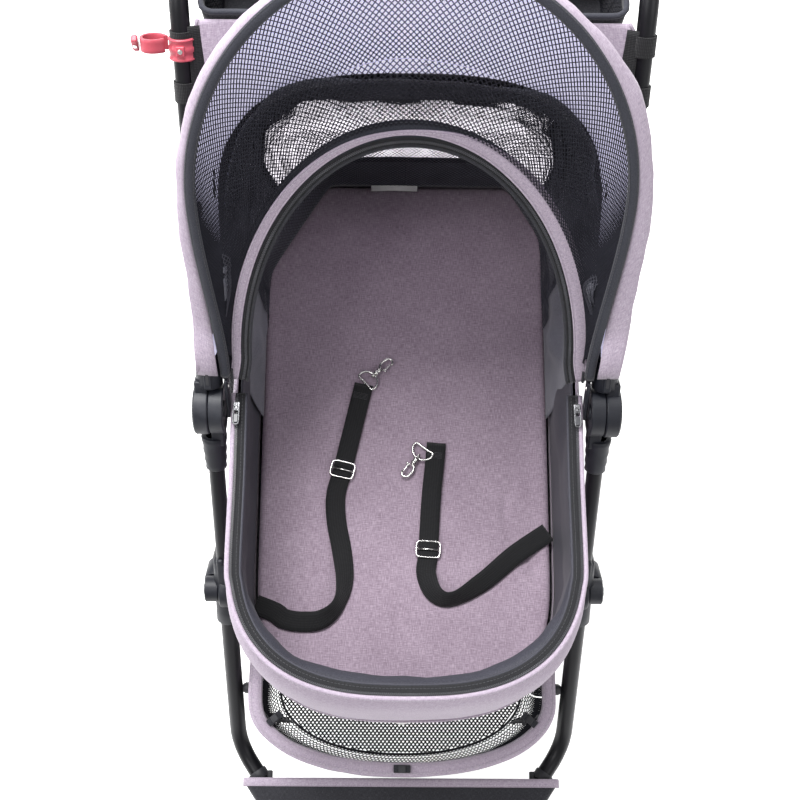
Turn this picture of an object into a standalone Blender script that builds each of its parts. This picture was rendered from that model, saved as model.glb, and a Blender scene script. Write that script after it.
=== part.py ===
"""Folding pet stroller: steel tube frame with two fold hubs, a fabric cabin with a zipped rim, a hood with a
mesh door, a storage basket, a handle tray and three wheels.

Metres, +Z up. The front faces -Y. The origin is on the ground, below the middle of the stroller.
"""

import math

import bmesh
import bpy
from mathutils import Matrix, Vector

# ---------------------------------------------------------------- driving dimensions
HUB_Y, HUB_Z = 0.1258, 0.660  # axis of the fold hubs
TRACK = 0.225  # half distance between the side tubes
SLOPE = math.radians(52.5)  # side tubes, above the horizontal
R_UP = 0.0095  # upper and middle tube radius
R_LEG = 0.011  # front leg tube radius
BRACKET_S = -0.273  # rear-leg pivot, along the side tube from the hub
BEND = (-0.339, -0.4414)  # front leg bend, from the hub
YOKE_Y, YOKE_Z = -0.625, 0.2015  # front yoke centre: y from the hub, z above ground
FRONT_R, REAR_R = 0.080, 0.120  # wheel radii
FRONT_WHEEL_Y = -0.605
AXLE_Y = 0.285  # rear axle, from the hub
HALF_TRACK = 0.255  # rear wheel centre
HANDLE_END = (0.418, 0.425)  # cross bar of the handle, from the hub
CABIN_BOTTOM, CABIN_RIM = -0.217, -0.006
BOW_ANGLE, BOW_R = math.radians(61.0), 0.530
DOOR_ANGLE, DOOR_R = math.radians(49.0), 0.335
PAD_TOP = -0.190
BASKET_TOP, BASKET_BOTTOM = -0.341, -0.490
GAP = 0.0003

# ---------------------------------------------------------------- helpers
for _o in list(bpy.data.objects):
    bpy.data.objects.remove(_o, do_unlink=True)

scene = bpy.context.scene
parts = bpy.data.collections.new("pet_stroller")
cutters = bpy.data.collections.new("cutters")
scene.collection.children.link(parts)
scene.collection.children.link(cutters)


def W(x, y, z):
    """A point given from the hub axis, in world coordinates."""
    return Vector((x, HUB_Y + y, HUB_Z + z))


UP = Vector((0, math.cos(SLOPE), math.sin(SLOPE)))


def L(s, x=TRACK):
    """A point on the side tube's line, s metres above the hub."""
    return W(x, s * UP.y, s * UP.z)


def paint(obj, rgb, rough=0.6, metal=0.0):
    m = bpy.data.materials.new(obj.name + "_mat")
    m.use_nodes = True
    b = m.node_tree.nodes["Principled BSDF"]
    b.inputs["Base Color"].default_value = (*rgb, 1)
    b.inputs["Roughness"].default_value = rough
    b.inputs["Metallic"].default_value = metal
    m.diffuse_color = (*rgb, 1)
    obj.data.materials.clear()
    obj.data.materials.append(m)
    return obj


DARK = (0.030, 0.031, 0.035)
GREY = (0.055, 0.057, 0.062)
BLACK = (0.012, 0.012, 0.014)
LILAC = (0.42, 0.33, 0.46)
MAUVE = (0.34, 0.26, 0.31)
NICKEL = (0.60, 0.60, 0.62)


def add(name, mesh, matrix=None, hidden=False):
    obj = bpy.data.objects.new(name, mesh)
    (cutters if hidden else parts).objects.link(obj)
    if matrix is not None:
        obj.matrix_world = matrix
    if hidden:
        obj.hide_render = True
        obj.display_type = "WIRE"
    return obj


def smooth(obj, angle=40):
    obj.data.shade_smooth()
    obj.data.set_sharp_from_angle(angle=math.radians(angle))
    return obj


def frame_to(axis, origin):
    """A matrix whose local Z runs along axis."""
    return Matrix.Translation(origin) @ Vector((0, 0, 1)).rotation_difference(Vector(axis)).to_matrix().to_4x4()


def cyl(name, p0, p1, r0, r1=None, seg=16, hidden=False):
    p0, p1 = Vector(p0), Vector(p1)
    bm = bmesh.new()
    bmesh.ops.create_cone(
        bm, cap_ends=True, segments=seg, radius1=r0, radius2=r0 if r1 is None else r1, depth=(p1 - p0).length
    )
    bm.transform(frame_to(p1 - p0, (p0 + p1) / 2))
    mesh = bpy.data.meshes.new(name)
    bm.to_mesh(mesh)
    bm.free()
    return smooth(add(name, mesh, hidden=hidden))


def box(name, lo, hi, bevel=0.0, hidden=False, turn=None, segments=2):
    lo, hi = Vector(lo), Vector(hi)
    bm = bmesh.new()
    bmesh.ops.create_cube(bm, size=1)
    bmesh.ops.scale(bm, vec=hi - lo, verts=bm.verts)
    if turn is not None:
        bm.transform(turn)
    bmesh.ops.translate(bm, vec=(lo + hi) / 2, verts=bm.verts)
    mesh = bpy.data.meshes.new(name)
    bm.to_mesh(mesh)
    bm.free()
    obj = add(name, mesh, hidden=hidden)
    if bevel:
        b = obj.modifiers.new("edges", "BEVEL")
        b.width, b.segments, b.limit_method = bevel, segments, "ANGLE"
    return obj


def boolean(obj, other, op="UNION"):
    m = obj.modifiers.new(op.lower() + "_" + other.name, "BOOLEAN")
    m.operation, m.solver, m.object = op, "EXACT", other
    return obj


def turned(name, profile, origin, axis, steps=24, hidden=False):
    """A turned shape: profile points (radius, height), running down the outer side."""
    mesh = bpy.data.meshes.new(name)
    closed = profile[0][0] > 1e-9
    n = len(profile)
    edges = [(i, i + 1) for i in range(n - 1)] + ([(n - 1, 0)] if closed else [])
    mesh.from_pydata([(r, 0, h) for r, h in profile], edges, [])
    obj = add(name, mesh, frame_to(axis, origin), hidden=hidden)
    s = obj.modifiers.new("turn", "SCREW")
    s.steps = s.render_steps = steps
    s.angle = math.tau
    s.use_merge_vertices = True
    s.merge_threshold = 0.00001
    s.use_smooth_shade = True
    return obj


def sleeve(name, p0, p1, r0, r1, bore, seg=20):
    """A tapered sleeve with a bore, from p0 (radius r0) to p1 (radius r1)."""
    p0, p1 = Vector(p0), Vector(p1)
    h = (p1 - p0).length
    return turned(name, [(r1, h), (r0, 0), (bore, 0), (bore, h)], p0, p1 - p0, seg)


def rounded(points, radius, steps=5):
    """A polyline with its inner corners rounded to a radius."""
    pts = [Vector(p) for p in points]
    out = [pts[0]]
    for a, b, c in zip(pts, pts[1:], pts[2:]):
        u, v = (a - b).normalized(), (c - b).normalized()
        half = u.angle(v) / 2
        t = min(radius / math.tan(half), 0.45 * min((a - b).length, (c - b).length))
        r = t * math.tan(half)
        centre = b + (u + v).normalized() * (r / math.sin(half))
        s, e = b + u * t - centre, b + v * t - centre
        turn = s.angle(e)
        for i in range(steps + 1):
            k = i / steps
            out.append(centre + (s * math.sin((1 - k) * turn) + e * math.sin(k * turn)) / math.sin(turn))
    out.append(pts[-1])
    return out


def tube(name, points, radius, resolution=4, cyclic=False):
    data = bpy.data.curves.new(name, "CURVE")
    data.dimensions = "3D"
    data.bevel_depth = radius
    data.bevel_resolution = resolution
    data.use_fill_caps = True
    sp = data.splines.new("POLY")
    sp.points.add(len(points) - 1)
    for p, q in zip(sp.points, points):
        p.co = (*q, 1)
    sp.use_cyclic_u = cyclic
    sp.use_smooth = True
    obj = bpy.data.objects.new(name, data)
    parts.objects.link(obj)
    return obj


def to_mesh(obj):
    """The curve object as a closed mesh object, ready for Booleans."""
    deps = bpy.context.evaluated_depsgraph_get()
    mesh = bpy.data.meshes.new_from_object(obj.evaluated_get(deps))
    bm = bmesh.new()
    bm.from_mesh(mesh)
    bmesh.ops.remove_doubles(bm, verts=bm.verts, dist=0.00001)
    bmesh.ops.recalc_face_normals(bm, faces=bm.faces)
    bm.to_mesh(mesh)
    bm.free()
    name, matrix = obj.name, obj.matrix_world.copy()
    bpy.data.objects.remove(obj, do_unlink=True)
    return smooth(add(name, mesh, matrix))


def outline(hw, yf, yr, front, n=1.85, rear_r=0.055, taper=0.0, steps=14, corner=4, side=3):
    """A tub's plan outline: rounded front, straight sides, rounded rear corners; hw is the half width at the front."""

    def widen(x, y):
        return x * (1 + taper * (y - yf) / (yr - yf))

    pts = []
    for i in range(steps + 1):
        t = math.pi * i / steps
        c, s = math.cos(t), math.sin(t)
        x = hw * math.copysign(abs(c) ** (2 / n), c)
        pts.append((x, yf + front - front * abs(s) ** (2 / n)))
    y0, y1 = yf + front, yr - rear_r
    for i in range(1, side):
        pts.append((-hw, y0 + (y1 - y0) * i / side))
    for i in range(corner + 1):
        t = math.pi / 2 * i / corner
        pts.append((-(hw - rear_r) - rear_r * math.cos(t), y1 + rear_r * math.sin(t)))
    for i in range(corner + 1):
        t = math.pi / 2 * (1 - i / corner)
        pts.append(((hw - rear_r) + rear_r * math.cos(t), y1 + rear_r * math.sin(t)))
    for i in range(1, side):
        pts.append((hw, y1 + (y0 - y1) * i / side))
    return [(widen(x, y), y) for x, y in pts]


def shell(name, rings, floor=True, closed=True, thickness=0.002, offset=-1.0):
    """A thin shell through rings of points, each ring a list of world points."""
    bm = bmesh.new()
    rows = [[bm.verts.new(p) for p in ring] for ring in rings]
    for a, b in zip(rows, rows[1:]):
        n = len(a)
        for i in range(n if closed else n - 1):
            j = (i + 1) % n
            bm.faces.new((a[i], a[j], b[j], b[i]))
    if floor:
        bm.faces.new(rows[0])
    bmesh.ops.recalc_face_normals(bm, faces=bm.faces)
    middle = sum((v.co for v in bm.verts), Vector()) / len(bm.verts)
    if sum(f.normal.dot(f.calc_center_median() - middle) * f.calc_area() for f in bm.faces) < 0:
        bmesh.ops.reverse_faces(bm, faces=bm.faces)
    mesh = bpy.data.meshes.new(name)
    bm.to_mesh(mesh)
    bm.free()
    obj = smooth(add(name, mesh), 60)
    s = obj.modifiers.new("cloth", "SOLIDIFY")
    s.thickness, s.offset, s.use_even_offset = thickness, offset, True
    return obj


def slab(name, ring, z0, z1, bevel=0.0):
    """A flat piece: a plan outline drawn as a filled curve, extruded to its thickness."""
    data = bpy.data.curves.new(name, "CURVE")
    data.dimensions = "2D"
    data.fill_mode = "BOTH"
    data.extrude = (z1 - z0) / 2
    sp = data.splines.new("POLY")
    sp.points.add(len(ring) - 1)
    for p, (x, y) in zip(sp.points, ring):
        p.co = (x, y, 0, 1)
    sp.use_cyclic_u = True
    obj = bpy.data.objects.new(name, data)
    parts.objects.link(obj)
    obj.location = (0, HUB_Y, HUB_Z + (z0 + z1) / 2)
    bpy.context.view_layer.update()
    obj = to_mesh(obj)
    if bevel:
        b = obj.modifiers.new("edges", "BEVEL")
        b.width, b.segments, b.limit_method = bevel, 2, "ANGLE"
    return obj


def arch(angle, apex, half, base, knee=0.27, n=2.0, start=0.05, legs=5, steps=18):
    """A bow in the plane at an angle about the hub axis: legs widen from base to half as they rise to the knee,
    then a superellipse of exponent n closes over the apex."""

    def leg(i):
        t = i / legs
        return start + (knee - start) * t, base + (half - base) * t * t * (3 - 2 * t)

    side = [leg(i) for i in range(legs)]
    pts = [(x, r) for r, x in side]
    for i in range(steps + 1):
        t = math.pi * i / steps
        c, s = math.cos(t), math.sin(t)
        pts.append((half * math.copysign(abs(c) ** (2 / n), c), knee + (apex - knee) * abs(s) ** (2 / n)))
    pts += [(-x, r) for r, x in reversed(side)]
    return [W(x, r * math.cos(angle), r * math.sin(angle)) for x, r in pts]


def ribbon(name, points, width=0.025, thick=0.0026, ups=None):
    """Flat webbing along a route, loft of rectangles; ups gives each point's face direction."""
    bm = bmesh.new()
    pts = [Vector(p) for p in points]
    rows = []
    for i, p in enumerate(pts):
        t = (pts[min(i + 1, len(pts) - 1)] - pts[max(i - 1, 0)]).normalized()
        up = Vector(ups[i]) if ups else Vector((0, 0, 1))
        side = t.cross(up).normalized()
        up = side.cross(t).normalized()
        rows.append(
            [
                bm.verts.new(p + side * width / 2 * a + up * thick / 2 * b)
                for a, b in ((-1, -1), (1, -1), (1, 1), (-1, 1))
            ]
        )
    for a, b in zip(rows, rows[1:]):
        for i in range(4):
            j = (i + 1) % 4
            bm.faces.new((a[i], a[j], b[j], b[i]))
    bm.faces.new(rows[0][::-1])
    bm.faces.new(rows[-1])
    bmesh.ops.recalc_face_normals(bm, faces=bm.faces)
    mesh = bpy.data.meshes.new(name)
    bm.to_mesh(mesh)
    bm.free()
    return add(name, mesh)


def smooth_route(points, spacing=0.012):
    """Points along a smooth (centripetal Catmull-Rom) curve through the route's own points."""
    p = [Vector(q) for q in points]
    p = [2 * p[0] - p[1]] + p + [2 * p[-1] - p[-2]]
    fine = []
    for a, b, c, d in zip(p, p[1:], p[2:], p[3:]):
        for i in range(24):
            t = i / 24
            fine.append(
                0.5
                * (
                    2 * b
                    + (c - a) * t
                    + (2 * a - 5 * b + 4 * c - d) * t * t
                    + (3 * b - a - 3 * c + d) * t ** 3
                )
            )
    fine.append(p[-2])
    total = sum((b - a).length for a, b in zip(fine, fine[1:]))
    n = max(2, round(total / spacing))
    out, run, k = [fine[0]], 0.0, 1
    for a, b in zip(fine, fine[1:]):
        step = (b - a).length
        while k < n and run + step >= k * total / n:
            out.append(a.lerp(b, (k * total / n - run) / max(step, 1e-9)))
            k += 1
        run += step
    out.append(fine[-1])
    return out


SIDES = (("l", -1.0), ("r", 1.0))
bodies = {}


def body(name, pos, pieces, parent=None):
    """An empty on the joint's axis that carries its pieces."""
    e = bpy.data.objects.new(name, None)
    parts.objects.link(e)
    e.location = pos
    e.empty_display_size = 0.03
    bodies[name] = e
    bpy.context.view_layer.update()
    if parent:
        e.parent = bodies[parent]
        e.matrix_parent_inverse = bodies[parent].matrix_world.inverted()
        bpy.context.view_layer.update()
    for o in pieces:
        o.parent = e
        o.matrix_parent_inverse = e.matrix_world.inverted()
    return e


# ---------------------------------------------------------------- side frames
DOWN = -UP
chassis, handle, rear_frame = [], [], []
latches = {}
for tag, sx in SIDES:
    # middle tube, from the lower hub socket to the rear-leg bracket
    o = tube(f"mid_tube_{tag}", [L(-0.046, sx * TRACK), L(-0.262, sx * TRACK)], R_UP)
    chassis.append(paint(o, DARK, 0.45, 0.6))

    # front leg: down the same line, then bent forward and in to the yoke
    leg_in = Vector((0.045 * sx, HUB_Y - 0.593, YOKE_Z - 0.0015))
    bend = W(sx * TRACK, *BEND)
    run = (leg_in - bend).normalized()
    o = tube(
        f"leg_tube_{tag}",
        rounded([L(-0.288, sx * TRACK), bend, leg_in + run * 0.016], 0.06, 6),
        R_LEG,
    )
    chassis.append(paint(o, DARK, 0.45, 0.6))

    # lower half of the fold hub: inner disc, pivot pin and socket for the middle tube
    o = cyl(f"hub_lower_{tag}", W(sx * 0.2097, 0, 0), W(sx * 0.2263, 0, 0), 0.029, seg=28)
    n = box(f"hub_lower_neck_{tag}", (0, -0.012, 0), (0.0153, 0.012, 0.05), hidden=True)
    n.data.transform(Matrix.Translation((-0.00765, 0, 0)))
    n.data.transform(frame_to(DOWN, W(sx * 0.21835, 0, 0)))
    boolean(o, n)
    boolean(o, cyl(f"hub_lower_socket_{tag}", L(-0.040, sx * TRACK), L(-0.082, sx * TRACK), 0.0150, 0.0125, hidden=True))
    boolean(o, cyl(f"hub_lower_bore_{tag}", L(-0.0455, sx * TRACK), L(-0.090, sx * TRACK), 0.0100, hidden=True), "DIFFERENCE")
    boolean(o, cyl(f"hub_pin_{tag}", W(sx * 0.218, 0, 0), W(sx * 0.2432, 0, 0), 0.006, hidden=True))
    chassis.append(paint(o, GREY, 0.5))

    # upper half: outer disc with a bore for the pin, neck and socket for the handle tube
    o = cyl(f"hub_upper_{tag}", W(sx * 0.2267, 0, 0), W(sx * 0.2433, 0, 0), 0.030, seg=28)
    n = box(f"hub_upper_neck_{tag}", (0, -0.012, 0), (0.0150, 0.012, 0.05), hidden=True)
    n.data.transform(Matrix.Translation((-0.0075, 0, 0)))
    n.data.transform(frame_to(UP, W(sx * 0.2345, 0, 0)))
    boolean(o, n)
    boolean(o, cyl(f"hub_upper_socket_{tag}", L(0.0325, sx * TRACK), L(0.072, sx * TRACK), 0.0152, 0.0142, hidden=True))
    boolean(o, cyl(f"hub_upper_bore_{tag}", L(0.0455, sx * TRACK), L(0.080, sx * TRACK), 0.0100, hidden=True), "DIFFERENCE")
    boolean(o, cyl(f"hub_upper_eye_{tag}", W(sx * 0.220, 0, 0), W(sx * 0.250, 0, 0), 0.0064, hidden=True), "DIFFERENCE")
    handle.append(paint(o, GREY, 0.5))

    # fold latch: tapered sleeve that slides up the handle tube
    o = sleeve(f"fold_latch_{tag}", L(0.0725, sx * TRACK), L(0.104, sx * TRACK), 0.0142, 0.0118, 0.0102)
    latches[tag] = paint(o, GREY, 0.5)

    # bracket that carries the rear leg
    o = cyl(f"leg_bracket_{tag}", L(-0.225, sx * TRACK), L(-0.322, sx * TRACK), 0.0140, 0.0155, seg=20)
    boolean(o, cyl(f"bracket_plate_{tag}", L(BRACKET_S, sx * 0.218), L(BRACKET_S, sx * 0.2440), 0.0235, seg=24, hidden=True))
    boolean(o, cyl(f"bracket_pin_{tag}", L(BRACKET_S, sx * 0.230), L(BRACKET_S, sx * 0.2680), 0.005, hidden=True))
    boolean(o, cyl(f"bracket_top_bore_{tag}", L(-0.220, sx * TRACK), L(-0.2625, sx * TRACK), 0.0100, hidden=True), "DIFFERENCE")
    boolean(o, cyl(f"bracket_low_bore_{tag}", L(-0.2875, sx * TRACK), L(-0.330, sx * TRACK), 0.0116, hidden=True), "DIFFERENCE")
    chassis.append(paint(o, GREY, 0.5))

    # rear leg: eye on the bracket pin, tube, foot on the axle
    p0, p1 = L(BRACKET_S, sx * 0.2565), Vector((sx * 0.2165, HUB_Y + AXLE_Y, REAR_R))
    o = cyl(f"rear_leg_{tag}", p0, p1, 0.010, seg=14)
    boolean(o, cyl(f"leg_eye_{tag}", L(BRACKET_S, sx * 0.2460), L(BRACKET_S, sx * 0.2670), 0.0165, seg=20, hidden=True))
    boolean(o, cyl(f"leg_foot_{tag}", p1 - Vector((0.0105, 0, 0)), p1 + Vector((0.0105, 0, 0)), 0.0175, seg=20, hidden=True))
    boolean(o, cyl(f"leg_eye_bore_{tag}", L(BRACKET_S, sx * 0.240), L(BRACKET_S, sx * 0.2750), 0.0054, hidden=True), "DIFFERENCE")
    boolean(o, cyl(f"leg_foot_bore_{tag}", p1 - Vector((0.03, 0, 0)), p1 + Vector((0.03, 0, 0)), 0.0057, hidden=True), "DIFFERENCE")
    rear_frame.append(paint(o, DARK, 0.45, 0.6))

    # spacer that holds the basket rim off the leg
    s = W(sx * 0.2035, -0.2725, -0.355)
    o = turned(
        f"basket_spacer_{tag}",
        [(0, 0.0095), (0.0055, 0.0095), (0.0075, 0.006), (0.0075, 0.0), (0, 0.0)],
        Vector((sx * 0.2045, s.y, s.z)),
        (sx, 0, 0),
        14,
    )
    chassis.append(paint(o, DARK, 0.4))

# front yoke, bored for the two legs and for the caster's stem
yoke_ring = [(-0.064, YOKE_Y + 0.034), (-0.034, YOKE_Y - 0.030), (-0.020, YOKE_Y - 0.036)]
yoke_ring = yoke_ring + [(-x, y) for x, y in reversed(yoke_ring)]
o = slab("front_yoke", yoke_ring, YOKE_Z - 0.0220 - HUB_Z, YOKE_Z + 0.0225 - HUB_Z, 0.005)
for tag, sx in SIDES:
    leg_in = Vector((0.045 * sx, HUB_Y - 0.593, YOKE_Z - 0.0015))
    run = (leg_in - W(sx * TRACK, *BEND)).normalized()
    boolean(o, cyl(f"yoke_bore_{tag}", leg_in - run * 0.04, leg_in + run * 0.0165, 0.0117, hidden=True), "DIFFERENCE")
STEM = Vector((0, HUB_Y + YOKE_Y, 0))
boolean(o, cyl("yoke_stem_bore", STEM + Vector((0, 0, 0.150)), STEM + Vector((0, 0, 0.2160)), 0.0084, hidden=True), "DIFFERENCE")
chassis.append(paint(o, GREY, 0.5))

# ---------------------------------------------------------------- front caster
FW = Vector((0, HUB_Y + FRONT_WHEEL_Y, FRONT_R))
o = box("front_fork", STEM + Vector((-0.0345, -0.022, 0.1635)), STEM + Vector((0.0345, 0.030, 0.1765)))
for tag, sx in SIDES:
    arm = box(
        f"fork_arm_{tag}",
        (min(sx * 0.0285, sx * 0.0345), FW.y - 0.014, FW.z - 0.016),
        (max(sx * 0.0285, sx * 0.0345), FW.y + 0.014, 0.170),
        hidden=True,
    )
    boolean(o, arm)
boolean(o, cyl("fork_stem", STEM + Vector((0, 0, 0.170)), STEM + Vector((0, 0, 0.2145)), 0.0078, hidden=True))
boolean(o, cyl("fork_axle_bore", FW - Vector((0.05, 0, 0)), FW + Vector((0.05, 0, 0)), 0.0046, hidden=True), "DIFFERENCE")
front_fork = paint(o, GREY, 0.5)
o = turned(
    "front_axle",
    [(0, 0.0385), (0.0085, 0.0385), (0.0085, 0.0349), (0.0041, 0.0349), (0.0041, -0.0349), (0.0085, -0.0349), (0.0085, -0.0385), (0, -0.0385)],
    FW,
    (1, 0, 0),
    14,
)
front_axle = paint(o, NICKEL, 0.3, 0.9)


def wheel(name, centre, radius, width, bore, hub_r, band):
    """A moulded rim with round windows and a rubber tyre on it."""
    w = width / 2
    r1 = radius - 0.016
    rim = turned(
        name + "_rim",
        [
            (r1, w * 0.80), (r1, -w * 0.80), (r1 - band, -w * 0.80), (r1 - band - 0.003, -0.0035), (hub_r + 0.004, -0.0035),
            (hub_r, -w * 0.93), (bore, -w * 0.93), (bore, w * 0.93), (hub_r, w * 0.93), (hub_r + 0.004, 0.0035),
            (r1 - band - 0.003, 0.0035), (r1 - band, w * 0.80),
        ],
        centre,
        (1, 0, 0),
        20,
    )
    mid = (hub_r + r1 - band) / 2
    hole = (r1 - band - hub_r) * 0.30
    bm = bmesh.new()
    for i in range(5):
        a = math.tau * i / 5
        bmesh.ops.create_cone(
            bm, cap_ends=True, segments=8, radius1=hole, radius2=hole, depth=0.03,
            matrix=Matrix.Translation((mid * math.cos(a), mid * math.sin(a), 0)),
        )
    mesh = bpy.data.meshes.new(name + "_windows")
    bm.to_mesh(mesh)
    bm.free()
    boolean(rim, add(name + "_windows", mesh, frame_to((1, 0, 0), centre), hidden=True), "DIFFERENCE")
    paint(rim, GREY, 0.5)
    t = radius - r1 - GAP
    pts = [(r1 + GAP, w * 0.82)] + [
        (r1 + GAP + t * math.sin(math.radians(a)) ** 0.8, w * math.cos(math.radians(a)) ** 0.6 * (1 if a <= 90 else -1))
        for a in (20, 45, 70)
    ]
    pts += [(radius, 0.0)]
    pts += [(r, -h) for r, h in reversed(pts[:-1])]
    tyre = turned(name + "_tyre", pts, centre, (1, 0, 0), 20)
    paint(tyre, BLACK, 0.85)
    return rim, tyre


front_rim, front_tyre = wheel("front_wheel", FW, FRONT_R, 0.036, 0.0046, 0.014, 0.007)

# swivel lock lever on the yoke's nose
LOCK = Vector((0, HUB_Y + YOKE_Y - 0.0425, YOKE_Z + 0.016))
o = box("swivel_lock", LOCK + Vector((-0.013, -0.004, -0.026)), LOCK + Vector((0.013, 0.004, 0.004)), 0.0015)
swivel_lock = paint(o, (0.10, 0.10, 0.11), 0.5)

# ---------------------------------------------------------------- rear axle and wheels
AXLE = Vector((0, HUB_Y + AXLE_Y, REAR_R))
o = turned(
    "rear_axle",
    [(0, 0.2735), (0.0052, 0.2735), (0.0052, 0.2055), (0.0110, 0.2055), (0.0110, -0.2055), (0.0052, -0.2055), (0.0052, -0.2735), (0, -0.2735)],
    AXLE,
    (1, 0, 0),
    16,
)
rear_frame.append(paint(o, DARK, 0.45, 0.6))
rear_wheels = {}
for tag, sx in SIDES:
    rim, tyre = wheel(f"rear_wheel_{tag}", AXLE + Vector((sx * HALF_TRACK, 0, 0)), REAR_R, 0.036, 0.0057, 0.018, 0.009)
    rear_wheels[tag] = [rim, tyre]

# brake bar behind the axle's cross tube, hung on two rings round it
BAR = AXLE + Vector((0, 0.036, 0.014))
o = cyl("brake_bar", BAR - Vector((0.185, 0, 0)), BAR + Vector((0.185, 0, 0)), 0.005, seg=12)
for tag, sx in SIDES:
    c = AXLE + Vector((sx * 0.178, 0, 0))
    boolean(o, cyl(f"brake_ring_{tag}", c - Vector((0.007, 0, 0)), c + Vector((0.007, 0, 0)), 0.0165, seg=18, hidden=True))
    boolean(o, box(f"brake_arm_{tag}", c + Vector((-0.005, 0.008, -0.001)), c + Vector((0.005, 0.036, 0.013)), hidden=True))
boolean(o, box("brake_tread", BAR + Vector((-0.035, -0.006, -0.0035)), BAR + Vector((0.035, 0.030, 0.0035)), hidden=True))
boolean(o, cyl("brake_bore", AXLE - Vector((0.2, 0, 0)), AXLE + Vector((0.2, 0, 0)), 0.0117, seg=18, hidden=True), "DIFFERENCE")
brake_bar = paint(o, (0.25, 0.02, 0.02), 0.5)

# ---------------------------------------------------------------- handle
top = [
    L(0.046, -TRACK), L(0.470, -TRACK), W(-TRACK, *HANDLE_END), W(TRACK, *HANDLE_END), L(0.470, TRACK), L(0.046, TRACK),
]
o = tube("handle_tube", rounded(top, 0.050, 5), R_UP)
handle.append(paint(o, DARK, 0.45, 0.6))
o = turned(
    "handle_grip",
    [(0.0140, 0.160), (0.0155, 0.156), (0.0155, -0.156), (0.0140, -0.160), (0.0101, -0.160), (0.0101, 0.160)],
    W(0, *HANDLE_END),
    (1, 0, 0),
    18,
)
handle.append(paint(o, BLACK, 0.9))

# handle tray: an open fabric box between the tubes
tray = []
for z, dx, dy in ((0.289, 0.195, 0.005), (0.325, 0.203, 0.001), (0.361, 0.2055, 0.0)):
    tray.append([W(x, y, z) for x, y in ((-dx, 0.275 + dy), (dx, 0.275 + dy), (dx, 0.361 - dy), (-dx, 0.361 - dy))])
o = shell("organiser", tray, thickness=0.003)
handle.append(paint(o, BLACK, 0.85))

# umbrella clip on the left tube: collar, swivelling ring and thumb tab
CLIP_S = 0.418
c = L(CLIP_S, -TRACK)
o = sleeve("clip_collar", c - UP * 0.011, c + UP * 0.011, 0.0134, 0.0134, 0.0099)
handle.append(paint(o, (0.62, 0.10, 0.20), 0.4))
ring_c = L(CLIP_S + 0.004, -0.2524)
o = sleeve("clip_ring", ring_c - UP * 0.007, ring_c + UP * 0.007, 0.0134, 0.0134, 0.0100, 24)
clip_ring = paint(o, (0.62, 0.10, 0.20), 0.4)
o = box("clip_tab", ring_c + Vector((-0.0211, -0.004, -0.009)), ring_c + Vector((-0.0138, 0.004, 0.009)), 0.0012)
clip_tab = paint(o, (0.62, 0.10, 0.20), 0.4)

# ---------------------------------------------------------------- cabin
CAB = dict(front=0.175, n=1.85, rear_r=0.055)
levels = (
    (CABIN_BOTTOM, 0.1850, -0.325, 0.408, 0.060),
    (-0.165, 0.1945, -0.334, 0.409, 0.030),
    (-0.090, 0.2020, -0.340, 0.409, 0.012),
    (-0.034, 0.2040, -0.338, 0.409, 0.010),
    (CABIN_RIM, 0.1965, -0.324, 0.405, 0.020),
)
rings = [[W(x, y, z) for x, y in outline(hw, yf, yr, taper=tp, **CAB)] for z, hw, yf, yr, tp in levels]
o = shell("cabin_shell", rings, thickness=0.004)
chassis.append(paint(o, LILAC, 0.9))
o = slab("floor_board", outline(0.1755, -0.316, 0.401, taper=0.062, **CAB), -0.2127, -0.2087)
chassis.append(paint(o, (0.10, 0.08, 0.07), 0.7))
o = slab("floor_pad", outline(0.1765, -0.317, 0.401, taper=0.062, **CAB), -0.2084, PAD_TOP, 0.006)
chassis.append(paint(o, MAUVE, 0.95))
rim_line = [p for p in outline(0.1945, -0.322, 0.405, taper=0.030, **CAB)[:15]]
rim = [W(0.1975, 0.022, -0.0024)] + [W(x, y, -0.0024) for x, y in rim_line] + [W(-0.1975, 0.022, -0.0024)]
o = tube("rim_zip", rim, 0.003, 1)
chassis.append(paint(o, BLACK, 0.8))
sliders = {}
for tag, sx in SIDES:
    o = box(
        f"zip_slider_{tag}",
        W(sx * 0.1965 - 0.005, -0.006, 0.0010),
        W(sx * 0.1965 + 0.005, 0.010, 0.0058),
        0.001,
    )
    sliders[tag] = paint(o, NICKEL, 0.3, 0.9)

# ---------------------------------------------------------------- hood and mesh door
hood_bow = paint(tube("hood_bow", arch(BOW_ANGLE, BOW_R, 0.2225, 0.2053, 0.275, 2.0, 0.0464, 6, 18), 0.004, 1), BLACK, 0.5)
bow_plates = []
for tag, sx in SIDES:
    o = box(f"bow_plate_{tag}", (-0.002, -0.008, -0.008), (0.002, 0.008, 0.046), 0.0)
    o.data.transform(frame_to((0, math.cos(BOW_ANGLE), math.sin(BOW_ANGLE)), W(sx * 0.2053, 0, 0)))
    bow_plates.append(paint(o, BLACK, 0.5))
hood_sections = (
    (59.0, 0.520, 0.2300, 0.2090, 0.27, 2.0, 0.200), (57.0, 0.503, 0.2250, 0.2090, 0.27, 2.0, 0.150),
    (55.0, 0.470, 0.2120, 0.2090, 0.26, 2.2, 0.118), (51.5, 0.425, 0.2110, 0.2085, 0.25, 2.4, 0.116),
    (46.5, 0.388, 0.2105, 0.2085, 0.23, 2.8, 0.116), (38.0, 0.376, 0.2095, 0.2080, 0.22, 3.2, 0.116),
    (27.0, 0.374, 0.2075, 0.2070, 0.22, 3.6, 0.116), (15.0, 0.385, 0.2050, 0.2045, 0.24, 4.5, 0.116),
    (4.0, 0.398, 0.2035, 0.2030, 0.27, 5.5, 0.116),
)
o = shell(
    "hood_fabric",
    [arch(math.radians(a), r, h, b, k, n, st, 3, 12) for a, r, h, b, k, n, st in hood_sections],
    floor=False,
    closed=False,
    thickness=0.0016,
)
hood_fabric = paint(o, LILAC, 0.9)
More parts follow.
